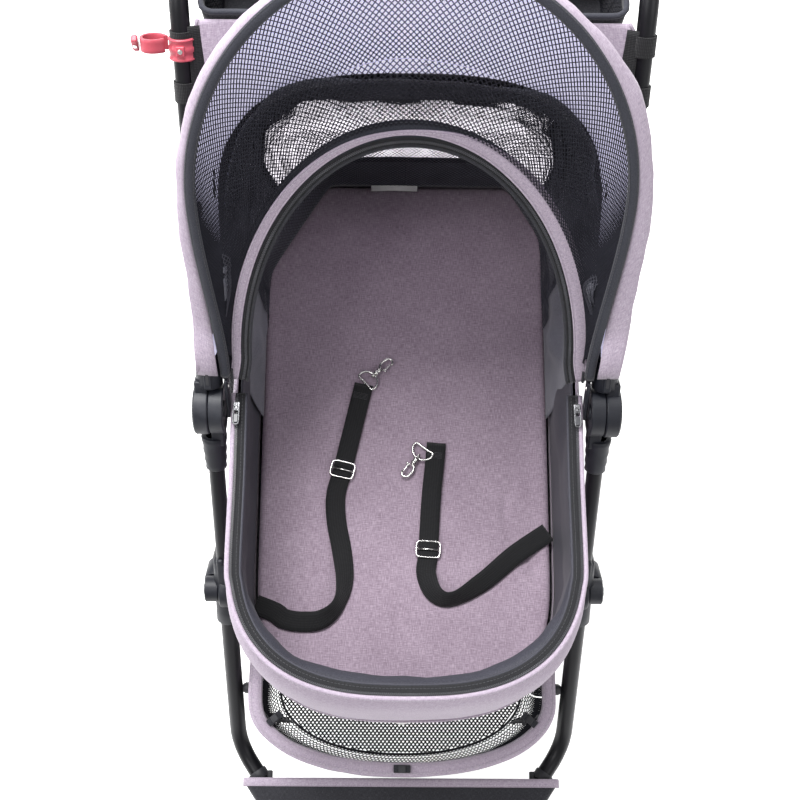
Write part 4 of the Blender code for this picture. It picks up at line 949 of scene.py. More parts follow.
FRONT = [  # angle, apex, half, base, knee, exponent, start
    (61.3, 0.5315, 0.2275, 0.2125, 0.275, 2.0, 0.056), (61.0, 0.5350, 0.2330, 0.2290, 0.275, 2.0, 0.056), (60.2, 0.5345, 0.2372, 0.2362, 0.275, 2.0, 0.057),
    (59.0, 0.5270, 0.2372, 0.2345, 0.274, 2.0, 0.062), (57.7, 0.5130, 0.2330, 0.2200, 0.270, 2.03, 0.080), (56.4, 0.4930, 0.2250, 0.2110, 0.265, 2.08, 0.104),
    (55.0, 0.4700, 0.2150, 0.2093, 0.258, 2.2, 0.112), (53.2, 0.4450, 0.2115, 0.2090, 0.252, 2.3, 0.115), (51.0, 0.4210, 0.2110, 0.2085, 0.247, 2.45, 0.116),
    (47.0, 0.3900, 0.2105, 0.2085, 0.232, 2.8, 0.116),
]
REAR = [
    (47.0, 0.3900, 0.2105, 0.2085, 0.232, 2.8, 0.116), (38.0, 0.376, 0.2095, 0.2080, 0.22, 3.2, 0.116), (27.0, 0.374, 0.2075, 0.2070, 0.22, 3.6, 0.116),
    (15.0, 0.385, 0.2050, 0.2045, 0.24, 4.5, 0.116), (4.0, 0.398, 0.2035, 0.2030, 0.27, 5.5, 0.116), (0.3, 0.4055, 0.2042, 0.2038, 0.30, 6.5, 0.116),
]


def hood_row(table, deg, inset=0.0, cols=121, pull=0.0):
    q = table_at(table, deg)
    row = arch(deg, q[0] - inset, q[1] - inset, q[2] - inset, q[3], q[4], q[5], cols)
    if deg > 54.0:  # the cloth stands off a little further on the right
        h = min(1.0, (deg - 54.0) / 4.0, max(0.0, (61.25 - deg) / 1.2))
        for p in row:
            if p.x > 0:
                r = math.hypot(p.y - HUB_Y, p.z - HUB_Z)
                p.x += 0.0065 * h * min(1.0, max(0.0, (r - 0.07) / 0.10)) * min(1.0, p.x / 0.18)
    if deg > 54.5:  # low down, the cloth stands forward of the hub's sleeve
        h = min(1.0, (deg - 54.5) / 4.0)
        for i, p in enumerate(row):
            y, z = p.y - HUB_Y, p.z - HUB_Z
            r = math.hypot(y, z)
            e = min(1.0, max(0.0, (0.122 - r) / 0.056))
            if e > 0:
                a = math.atan2(z, y) + math.radians(8.0) * h * e * e * (3 - 2 * e)
                row[i] = W(p.x, r * math.cos(a), r * math.sin(a))
    return row


def rumple(rows, amount, size, seed, hold=(3, 3), rise=(0, 0, 0)):
    """Soft wrinkles along each point's normal, held at the first and last rows."""
    R = np.array([[tuple(p) for p in r] for r in rows], float)
    du, dv = np.gradient(R, axis=1), np.gradient(R, axis=0)
    N = np.cross(du, dv)
    N /= np.linalg.norm(N, axis=2, keepdims=True) + 1e-12
    m = len(R)
    for i in range(m):
        k = min(1.0, i / max(1, hold[0])) * min(1.0, (m - 1 - i) / max(1, hold[1]))
        for j in range(R.shape[1]):
            p = R[i, j]
            h = soft(p, size, seed) + 0.45 * soft(p, size * 0.42, seed + 3)
            R[i, j] = p + N[i, j] * (amount * h * k)
    return R


degs = [61.3, 61.15, 61.0, 60.6, 60.2] + list(np.linspace(59.6, 47.0, 26))
rows = rumple([hood_row(FRONT, d) for d in degs], 0.0032, 0.055, 21.0, (5, 2))
hood_top = grid("hood_front_cloth", rows, LILAC, None, thick=0.0010, offset=0.0, replaces=("hood_fabric",), slot="lilac_cloth")
hood_blend(hood_top)
degs = list(np.linspace(47.0, 0.3, 40))
rows = rumple([hood_row(REAR, d) for d in degs], 0.0042, 0.07, 31.0, (2, 3))
rear_rows = rows
hood_back = grid("hood_rear_cloth", rows, LILAC, None, thick=0.0010, offset=0.0, slot="lilac_cloth")
base_blend(hood_back)
# rolled hem along the cabin's rear edge, and a seam over the roof
hem = smoothed([tuple(p) for p in rear_rows[-1]][::3], 0.006) + np.array([0, 0, 0.0015])
sweep("hood_hem", hem, 0.0026, LILAC_DARK, "chassis", sides=12, slot="lilac_cloth")
for j, deg in enumerate((55.2, 47.3)):
    line = smoothed(hood_row(FRONT, deg, -0.0012)[2:-2:3], 0.006)
    o = sweep(f"hood_seam_{j}", line, 0.0013, LILAC_DARK, None, sides=8, slot="lilac_cloth")
    hood_blend(o)
# rear window flap outside: a raised panel with piping
def rear_patch(d0, d1, c0, c1, lift, n=26, m=36, pad_=0.0):
    out = []
    for i in range(n):
        row = hood_row(REAR, d0 + (d1 - d0) * i / (n - 1), -lift)
        a = int(len(row) * c0)
        b = int(len(row) * c1)
        out.append([row[min(len(row) - 1, int(round(a + (b - a) * j / (m - 1))))] for j in range(m)])
    return out


flap_rows = rumple(rear_patch(43, 14, 0.34, 0.66, 0.0040), 0.0022, 0.06, 41.0, (2, 2))
flap = grid("hood_window_flap", flap_rows, LILAC, None, thick=0.0012, offset=0.0, slot="lilac_cloth")
base_blend(flap)
F = np.array(flap_rows)
edge = list(F[:, 0][::-1]) + list(F[0, 1:-1]) + list(F[:, -1])
o = sweep("hood_flap_binding", smoothed([tuple(p) for p in edge][::2], 0.005), 0.0026, BINDING, None, sides=12, slot="black_cloth")
base_blend(o)

# hem band round the bow: a black binding with its stitching, in the bow's plane
bow_line = smoothed(arch(61.0, 0.530, 0.2225, 0.2053, 0.275, 2.0, 0.050, 61), 0.006)
side_up = tuple(perp(61.0) * -1)
sweep("hood_binding", bow_line, 0.0058, BINDING, "hood", sides=18, up=side_up, flat=0.86, power=2.3, replaces=("hood_bow",), slot="black_cloth")
P, T, S, N = frames(bow_line, False, side_up)
mid_i = len(P) // 2
out_sign = 1.0 if np.dot(S[mid_i], P[mid_i] - np.array(tuple(W(0, 0, 0)))) > 0 else -1.0
for nm, d in (("outer", 0.0043), ("inner", -0.0043)):
    blocks(f"hood_binding_stitch_{nm}", P + S * d * out_sign + N * 0.0042, side_up, THREAD_BLACK, "hood", 0.0040, (0.0028, 0.0006, 0.0006), slot="black_cloth")
sweep("hood_bow_wire", smoothed(arch(61.0, 0.530, 0.2225, 0.2053, 0.275, 2.0, 0.0464, 61), 0.008)[:8], 0.0036, HUB_DARK, "hood", sides=16, slot="bow_wire")
sweep("hood_bow_wire_b", smoothed(arch(61.0, 0.530, 0.2225, 0.2053, 0.275, 2.0, 0.0464, 61), 0.008)[-8:], 0.0036, HUB_DARK, "hood", sides=16, slot="bow_wire")

# lavender lining under the roof
degs = list(np.linspace(60.6, 46.5, 24))
rows = rumple([hood_row(FRONT, d, 0.0055 if d < 60 else 0.0105 - 0.005 * (61 - d)) for d in degs], 0.0034, 0.06, 51.0, (3, 2))
roof_lining = grid("hood_lining", rows, LINING, None, thick=0.0006, offset=0.0, slot="lilac_cloth")
hood_blend(roof_lining)

# black mesh cloth hung inside the sides and back, from a slack edge under the roof down to the pad
COLS = 181


def wall_row(z, inset, cols):
    """The cabin's inside outline from one side round the rear to the other, as the hood's columns run."""
    hw, yf, yr, tp = table_at(LEVELS, z)
    ring = outline(hw - inset, yf + inset, yr - inset, taper=tp, **CAB)
    right = [p for p in ring if p[1] >= 0.050]
    i0 = max(range(len(right)), key=lambda i: -right[i][1] * 1000 + (500 if right[i][0] > 0 else 0) * 0)
    left_part = [p for p in ring[57:] if p[1] >= 0.050]
    line = list(reversed(left_part))
    P = np.array(line)
    d = np.concatenate([[0], np.cumsum(np.linalg.norm(np.diff(P, axis=0), axis=1))])
    t = np.linspace(0, d[-1], cols)
    return [W(x, y, z) for x, y in zip(np.interp(t, d, P[:, 0]), np.interp(t, d, P[:, 1]))]


def curtain_point(s, j):
    """s runs from the slack front edge (0) over the hood's back to the cabin rim (0.62) and down to the pad (1)."""
    t = j / (COLS - 1)
    k = abs(2 * t - 1)
    front_deg = 47.0 + 10.6 * k**1.7 + 1.5 * math.sin(9.0 * t + 0.8) * (1 - k) + 1.1 * math.sin(23 * t)
    if s <= 0.62:
        deg = front_deg + (0.5 - front_deg) * (s / 0.62)
        key = round(deg * 10) / 10
        return deg
    return None


_cache = {}


def hood_inside(deg, j):
    key = round(deg * 4)
    if key not in _cache:
        d = key / 4
        _cache[key] = np.array([tuple(p) for p in (hood_row(FRONT, d, 0.0115, COLS) if d > 47 else hood_row(REAR, d, 0.0105, COLS))])
    lo_ = _cache[key][j]
    key2 = key + (1 if deg * 4 > key else -1)
    if key2 not in _cache:
        d = key2 / 4
        _cache[key2] = np.array([tuple(p) for p in (hood_row(FRONT, d, 0.0115, COLS) if d > 47 else hood_row(REAR, d, 0.0105, COLS))])
    f = abs(deg * 4 - key)
    return lo_ * (1 - f) + _cache[key2][j] * f


rows = []
S_HOOD, S_WALL = 44, 24
for i in range(S_HOOD):
    s = 0.62 * i / (S_HOOD - 1)
    row = []
    for j in range(COLS):
        deg = curtain_point(s, j)
        p = hood_inside(max(0.6, deg), j)
        row.append(tuple(p))
    rows.append(row)
for i in range(1, S_WALL + 1):
    z = -0.002 - 0.183 * i / S_WALL
    rows.append([tuple(p) for p in wall_row(z, 0.0105, COLS)])
CUR = np.array(rows, float)
# ease the join between hood and wall, then hang the folds
for _ in range(10):
    CUR[S_HOOD - 6:S_HOOD + 6] = (CUR[S_HOOD - 7:S_HOOD + 5] + 2 * CUR[S_HOOD - 6:S_HOOD + 6] + CUR[S_HOOD - 5:S_HOOD + 7]) / 4
centre = np.array(tuple(W(0, 0.16, 0.05)))
_k = np.clip((np.abs(2 * np.linspace(0, 1, COLS) - 1) - 0.84) / 0.14, 0, 1)
for i in range(S_HOOD + 3):
    CUR[i, :, 0] += np.sign(CUR[i, :, 0]) * 0.0065 * _k * min(1.0, (S_HOOD + 3 - i) / 8)
for i in range(len(CUR)):
    for j in range(COLS):
        p = CUR[i, j]
        t = j / (COLS - 1)
        k = abs(2 * t - 1)
        a = i / len(CUR)
        inward = centre - p
        inward[2] *= 0.25
        inward /= np.linalg.norm(inward) + 1e-9
        f = 0.5 + 0.5 * math.sin(34 * t + 5.0 * soft(p, 0.09, 61) + 3 * a)
        side_amt = (0.010 * min(1, k * 1.6) + 0.003) * min(1.0, (1 - k) / 0.14 + 0.10)
        q = side_amt * (0.55 * f + 0.9 * max(0.0, soft(p, 0.05, 65)))
        q += 0.007 * math.exp(-((a - 0.30) / 0.12) ** 2) * (1 - k)
        q *= min(1.0, (len(CUR) - 1 - i) / 6)
        CUR[i, j] = p + inward * q
# low down, the slack mesh hangs in across both rear corners of the pad
for i in range(S_HOOD, len(CUR)):
    t = (i - S_HOOD + 1) / S_WALL
    w = 0.15 * t + 0.85 * t * t * (3 - 2 * t)
    for nx, ny, c_ in ((-0.8657, 0.5005, 0.2915), (0.8690, 0.4943, 0.3190)):
        e = nx * CUR[i, :, 0] + ny * (CUR[i, :, 1] - HUB_Y) - c_
        e = np.where(e > -0.012, 0.5 * (e + np.sqrt(e * e + 0.00006)), 0.0) * w
        CUR[i, :, 0] -= nx * e
        CUR[i, :, 1] -= ny * e
curtain = grid("mesh_lining", CUR, MESHBACK, None, thick=0.0006, offset=0.0, slot="black_mesh")
base_blend(curtain)


def shifted(R, d):
    """A surface moved to its inner side by d."""
    R = np.asarray(R, float)
    du, dv = np.gradient(R, axis=1), np.gradient(R, axis=0)
    N = np.cross(du, dv)
    N /= np.linalg.norm(N, axis=2, keepdims=True) + 1e-12
    c = centre - R
    flip = np.sign((N * c).sum(axis=2, keepdims=True))
    return R + N * flip * d


# pale rear window seen through the net, made brighter by a painted backlight glow in its cloth
WIN = (0.455, 0.85)
wi0, wi1 = int(len(CUR) * WIN[0]), int(len(CUR) * WIN[1])
wj0, wj1 = int(COLS * 0.285), int(COLS * 0.715)
win = shifted(CUR, 0.0016)[wi0:wi1, wj0:wj1]
window = grid("rear_window", win, WINDOW, None, thick=0.0004, offset=0.0, slot="lilac_cloth")
base_blend(window)
E0 = shifted(CUR, 0.0026)[wi0:wi1, wj0:wj1]
edge = [tuple(p) for p in list(E0[::-1, 0]) + list(E0[0, 1:-1]) + list(E0[:, -1])]
o = sweep("rear_window_piping", smoothed(edge[::3], 0.005), 0.0020, BINDING, None, sides=10, slot="black_cloth")
base_blend(o)
surf = shifted(CUR, 0.0030)
for nm, part in (("a", (0.0, 0.5)), ("b", (0.5, 1.0))):
    o = net(f"mesh_lining_net_{nm}", surf, 0.0052, 0.0031, 0.0011, 0.0007, NETLINE, None, hexed=False, part=part,
            keep=lambda a, b: a < 0.985 and not (a > 0.62 and (b < 0.12 or b > 0.88))
            and not (WIN[0] + 0.01 < a < WIN[1] - 0.01 and 0.292 < b < 0.708), slot="black_mesh")
    base_blend(o)
# a second, slack layer of net low on each side of the window, as the folds gather there
surf2 = shifted(CUR, 0.0055)
o = net("mesh_window_net", surf, 0.0052, 0.0034, 0.00068, 0.0007, NETFINE, None, hexed=False,
        keep=lambda a, b: WIN[0] < a < WIN[1] and 0.285 < b < 0.715, slot="black_mesh")
base_blend(o)
o = net("mesh_window_fold", surf2, 0.0046, 0.0030, 0.0009, 0.0006, NETFINE, None, hexed=False,
        keep=lambda a, b: WIN[0] - 0.02 < a < WIN[1] and (0.275 < b < 0.345 or 0.665 < b < 0.725 or (a < 0.51 and soft((a * 3, b * 6, 0), 0.5, 71) > 0.12) or (a > 0.70 and 0.3 < b < 0.7)), slot="black_mesh")
base_blend(o)

# ------------------------------------------------------------------ the mesh door's net between the bows
NA = arch(60.9, 0.5255, 0.2185, 0.2020, 0.275, 2.0, 0.078, COLS)
NB = arch(49.9, 0.3365, 0.2000, 0.1990, 0.062, 2.02, 0.060, COLS)
net_rows = []
for i in range(25):
    a = i / 24
    row = []
    for j in range(COLS):
        p = NA[j].lerp(NB[j], a)
        c = (W(0, 0.10, 0.02) - p).normalized()
        q = 0.010 * math.sin(math.pi * a) + 0.0025 * soft(p, 0.06, 81) * math.sin(math.pi * a)
        row.append(tuple(p + Vector((c.x * 0.3, c.y, c.z)) * q))
    net_rows.append(row)
net_rows = np.array(net_rows)
for nm, part in (("l", (0.5, 1.0)), ("r", (0.0, 0.5))):
    o = net(f"hood_net_{nm}", net_rows[:13], 0.0058, 0.0033, 0.00125, 0.0008, NET, None, part=part, replaces=("door_mesh",) if nm == "l" else (), slot="black_mesh")
    hood_blend(o)
    o = net(f"door_net_{nm}", net_rows[12:], 0.0056, 0.0033, 0.00125, 0.0008, NET, None, part=part, slot="black_mesh")
    door_blend(o)

# ------------------------------------------------------------------ door bow: lilac band, piping, zip
band_c = smoothed(arch(49.2, 0.3300, 0.1940, 0.1985, 0.062, 2.02, 0.040, 61), 0.005)
n49 = perp(49.0) * -1
P, T, S, N = frames(band_c, False, tuple(n49))
so = 1.0 if np.dot(S[len(P) // 2], P[len(P) // 2] - np.array(tuple(W(0, 0, 0)))) > 0 else -1.0
tw = np.linspace(0, 1, len(P))
wid = np.interp(tw, (0, 0.06, 0.16, 0.34, 0.42, 0.48, 0.53, 0.58, 0.68, 0.86, 1), (0.0105, 0.0155, 0.0190, 0.0190, 0.0120, 0.0040, 0.0030, 0.0055, 0.0085, 0.0095, 0.0080))
wid = np.convolve(np.pad(wid, 3, mode="edge"), np.ones(7) / 7, "valid")
shift = (wid - 0.0115) * 0.28
C_ = P + S * so * shift[:, None]
ribbon("door_hem", P - N * 0.0012, 0.0190, 0.0014, BINDING, "door", up=tuple(n49), replaces=("door_bow",), slot="black_cloth")
sweep("door_hem_edge", P + S * so * 0.0096 - N * 0.0006, 0.0016, BINDING, "door", sides=10, slot="black_cloth")
ribbon("door_band", C_, 0.0115, 0.0022, LILAC_DARK, "door", up=tuple(n49), widths=wid, bow=0.0010, slot="lilac_cloth")
sweep("door_piping_out", C_ + S * so * (wid / 2)[:, None] + N * 0.0004, 0.0012, LILAC, "door", sides=10, slot="lilac_cloth")
sweep("door_piping_in", C_ - S * so * (wid / 2)[:, None] + N * 0.0008, 0.0011, LILAC, "door", sides=10, slot="lilac_cloth")
blocks("door_stitches", C_ + S * so * (wid / 2 - 0.0020)[:, None] + N * 0.0020, tuple(n49), THREAD, "door", 0.0042, (0.0030, 0.0006, 0.0005), slot="lilac_cloth")
tape = P - S * so * 0.0116
ribbon("door_tape", tape, 0.0086, 0.0009, ZIPTAPE, "door", up=tuple(n49), slot="zip")
coil("door_teeth", tape + N * 0.0010, tuple(n49), ZIPTEETH, "door", width=0.0032, slot="zip")
sweep("door_inner_roll", tape - S * so * 0.0050, 0.0017, BLACKCLOTH, "door", sides=10, slot="black_cloth")
for tag, sx in SIDES:
    block(f"door_foot_{tag}", W(sx * 0.1992, 0.0300, 0.0350), (0.003, 0.011, 0.014), HUB_DARK, "door", 0.0012, turn=Matrix.Rotation(math.radians(49 - 90), 3, "X"), slot="hub_plastic")


# ------------------------------------------------------------------ storage basket
BSK = dict(front=0.095, n=2.2, rear_r=0.045, steps=40, corner=10, side=14)
BLEV = [(-0.490, 0.172, -0.345, 0.120), (-0.470, 0.186, -0.362, 0.138), (-0.410, 0.193, -0.373, 0.147), (-0.341, 0.199, -0.381, 0.150)]


def basket_ring(z, inset=0.0, sag=0.0):
    hw, yf, yr = table_at(BLEV, z)
    out = []
    for x, y in outline(hw - inset, yf + inset, yr - inset, **BSK):
        d = Vector((x, y + 0.11, 0)).normalized()
        q = sag * (soft((x, y, z), 0.09, 91) + 0.4 * soft((x, y, z), 0.04, 92))
        out.append(W(x + d.x * q, y + d.y * q, z))
    return out


zs = np.linspace(-0.3445, -0.4860, 18)
wall = [basket_ring(z, 0.001, 0.004 * math.sin(math.pi * (-0.3445 - z) / 0.1415)) for z in zs]
wall_closed = [even(r, 420) for r in wall]
for k, (nm, part) in enumerate((("a", (0.0, 0.5)), ("b", (0.5, 1.0)))):
    net(f"basket_net_{nm}", wall_closed, 0.0056, 0.0036, 0.0020, 0.0009, NETFINE, "chassis", part=part,
        replaces=("basket_shell",) if k == 0 else (), slot="black_mesh")
# floor: net with a bound edge and a middle seam
ring0 = np.array([tuple(p) for p in basket_ring(-0.4868, 0.0005)])
mid0 = np.array([0, HUB_Y - 0.1125, HUB_Z - 0.4875])
fx, fy0, fy1 = 0.173, ring0[:, 1].min(), ring0[:, 1].max()
_a = np.arctan2(ring0[:, 1] - mid0[1], ring0[:, 0])
_o = np.argsort(_a)
_ang, _rad = _a[_o], np.hypot(ring0[:, 0], ring0[:, 1] - mid0[1])[_o]


def on_floor(a, b):
    x, y = -fx + 2 * fx * b, fy0 + (fy1 - fy0) * a - mid0[1]
    return math.hypot(x, y) < np.interp(math.atan2(y, x), _ang, _rad, period=math.tau)


flo = [[(x, y, HUB_Z - 0.4872 + 0.0008 * soft((x, y, 0), 0.05, 95)) for x in np.linspace(-fx, fx, 45)] for y in np.linspace(fy0, fy1, 50)]
net("basket_floor_net", flo, 0.0058, 0.0037, 0.0022, 0.0010, NETFINE, "chassis", keep=on_floor, slot="black_mesh")
ribbon("basket_floor_seam", [(-0.168, HUB_Y - 0.11, HUB_Z - 0.4866), (0, HUB_Y - 0.11, HUB_Z - 0.4866), (0.168, HUB_Y - 0.11, HUB_Z - 0.4866)], 0.016, 0.0010, BLACKCLOTH, "chassis", slot="black_cloth")
sweep("basket_floor_binding", resample(basket_ring(-0.4865, 0.0), 0.007, True), 0.0018, BLACKCLOTH, "chassis", sides=12, closed=True, up=up_z, flat=0.9, slot="black_cloth")
# four corner panels of plain cloth
for tag, sx in SIDES:
    for nm, yy in (("front", -0.300), ("rear", 0.112)):
        line = []
        for z in np.linspace(-0.346, -0.485, 12):
            ring = basket_ring(z, -0.0008)
            line.append(min((p for p in ring if p.x * sx > 0), key=lambda p: abs(p.y - HUB_Y - yy) + (0 if abs(p.x) > 0.1 else 1)))
        P, T, _, _ = frames(line)
        out_dir = [Vector((p[0], (p[1] - HUB_Y) + 0.11, 0)).normalized() for p in P]
        ribbon(f"basket_corner_{nm}_{tag}", P, 0.022, 0.0011, BLACKCLOTH, "chassis", up=[tuple(d) for d in out_dir], slot="black_cloth")
# wide lilac rim band over the wire
rimw = resample([W(x, y, -0.3395) for x, y in outline(0.1985, -0.3815, 0.150, **BSK)], 0.006, True)
P, T, S, N = frames(rimw, True, up_z)
so = 1.0 if np.dot(S[20], P[20] - mid0) > 0 else -1.0
band = []
prof = [(0.0058, -0.0070), (0.0066, -0.0020), (0.0056, 0.0030), (0.0020, 0.0058), (-0.0040, 0.0064), (-0.0105, 0.0048), (-0.0122, 0.0010), (-0.0112, 0.0004), (-0.0050, 0.0046), (0.0012, 0.0038), (0.0040, 0.0012), (0.0044, -0.0070)]
R = np.stack([P + S * so * a + np.array([0, 0, b]) for a, b in prof], axis=1)
R += np.array([[noise.noise(Vector(q) / 0.03) * 0.0007 for q in r] for r in R])[:, :, None]
o = loft("basket_band", R, LILAC, "chassis", closed=True, caps=False, replaces=("basket_rim",), slot="lilac_cloth")
for k, (a, b) in enumerate(((0.0022, 0.0066), (-0.0098, 0.0056))):
    blocks(f"basket_band_stitch_{k}", np.concatenate([P + S * so * a + np.array([0, 0, b]), P[:1] + S[:1] * so * a + np.array([0, 0, b])]), up_z, THREAD, "chassis", 0.0044, (0.0030, 0.0007, 0.0007), slot="lilac_cloth")
sweep("basket_wire", rimw, 0.0030, HUB_DARK, "chassis", sides=12, closed=True, slot="hub_plastic")
# webbing tabs that hang the band from the legs and front
for k, (x, y, turn_) in enumerate(((-0.168, -0.315, 40), (0.168, -0.315, -40), (0.0, -0.378, 0))):
    m3 = Matrix.Rotation(math.radians(turn_), 3, "Z")
    c = W(x, y, -0.331)
    block(f"basket_tab_{k}", c, (0.022, 0.010, 0.0022), BLACKCLOTH, "chassis", 0.0009, turn=m3, slot="black_cloth")
    block(f"basket_snap_{k}", c + Vector((0, 0, 0.0018)), (0.009, 0.009, 0.0022), HUB_DARK, "chassis", 0.0010, turn=m3, slot="hub_plastic")

# ------------------------------------------------------------------ front apron over the legs
rows = []
for i in range(31):
    t = -0.055 + 1.055 * i / 30
    y, w, z = -0.397 - 0.180 * t, 0.208 - 0.124 * t, 0.2450 - HUB_Z - 0.0150 * t
    prof = [(-w - 0.0006, -0.0260), (-w - 0.0006, -0.0150), (-w, -0.0065), (-w + 0.0030, -0.0018)] + [(-w + 0.008 + (2 * w - 0.016) * j / 30, -0.0004 - 0.0030 * math.sin(math.pi * j / 30) * math.sin(math.pi * min(1, 0.2 + max(0, t)))) for j in range(31)] + [(w - 0.0030, -0.0018), (w, -0.0065), (w + 0.0006, -0.0150), (w + 0.0006, -0.0260)]
    rows.append([W(x, y, z + dz + 0.0008 * soft((x, y, 0), 0.03, 97)) for x, dz in prof])
apron = grid("apron_cloth", rows, BLACKCLOTH, "chassis", thick=0.0014, offset=-1.0, replaces=("front_apron",), slot="black_cloth")
top_edge = [tuple(p + Vector((0, 0.0004, 0.0004))) for p in rows[0]]
o = grid("apron_trim", [[tuple(p + Vector((0, dy, dz)) ) for p in rows[0]] for dy, dz in ((0.0012, -0.0040), (0.0020, -0.0010), (0.0012, 0.0010), (-0.0020, 0.0018), (-0.0075, 0.0014), (-0.0084, 0.0004))], LILAC, "chassis", thick=0.0008, offset=0.0, slot="lilac_cloth")
sweep("apron_trim_edge", smoothed([tuple(p + Vector((0, -0.0084, 0.0008))) for p in rows[0]][2:-2:2], 0.004), 0.0008, LILAC_DARK, "chassis", sides=8, slot="lilac_cloth")
blocks("apron_stitches", [tuple(p + Vector((0, -0.0066, 0.0020))) for p in rows[0][4:-4]], up_z, THREAD, "chassis", 0.0042, (0.0030, 0.0007, 0.0006), slot="lilac_cloth")
sweep("apron_hem", smoothed([tuple(p) for p in rows[-1]][::2], 0.004), 0.0020, BLACKCLOTH, "chassis", sides=10, slot="black_cloth")
for k, tt in enumerate((0.12, 0.88)):
    r_ = rows[int(30 * tt)]
    blocks(f"apron_row_{k}", [tuple(p + Vector((0, 0, 0.0006))) for p in r_[4:-4]], up_z, THREAD_BLACK, "chassis", 0.0042, (0.0030, 0.0007, 0.0005), slot="black_cloth")

# ------------------------------------------------------------------ frame tubes
def rounded(points, radius, steps=14):
    pts = [Vector(p) for p in points]
    out = [pts[0]]
    for a, b, c in zip(pts, pts[1:], pts[2:]):
        u, v = (a - b).normalized(), (c - b).normalized()
        half = u.angle(v) / 2
        t = min(radius / math.tan(half), 0.45 * min((a - b).length, (c - b).length))
        r = t * math.tan(half)
        centre_ = b + (u + v).normalized() * (r / math.sin(half))
        s_, e_ = b + u * t - centre_, b + v * t - centre_
        turn_ = s_.angle(e_)
        for i in range(steps + 1):
            k = i / steps
            out.append(centre_ + (s_ * math.sin((1 - k) * turn_) + e_ * math.sin(k * turn_)) / math.sin(turn_))
    out.append(pts[-1])
    return out


def tube(name, pts, r, body, node, mat=TUBE, slot="frame_tube"):
    return sweep(name, resample(pts, 0.012), r, mat, body, sides=32, replaces=(node,) if node else (), slot=slot)


def collar(name, s0, s1, r0, r1, x, mat, body, ribs=0, **k):
    """A moulded sleeve on the side tube's line, with rounded lips."""
    p0, p1 = L(s0, x), L(s1, x)
    h = (p1 - p0).length
    e = min(0.0012, h / 6)
    prof = [(R_UP + 0.0004, 0), (r0 - e, 0), (r0, e)]
    for i in range(1, ribs * 2 + 1):
        f = i / (ribs * 2 + 1)
        prof.append((r0 + (r1 - r0) * f - (0.0009 if i % 2 else 0.0), h * f))
    prof += [(r1, h - e), (r1 - e, h), (R_UP + 0.0004, h)]
    return sharp(turned(name, prof[::-1], p0, (p1 - p0).normalized(), mat, body, 48, **k), 60)


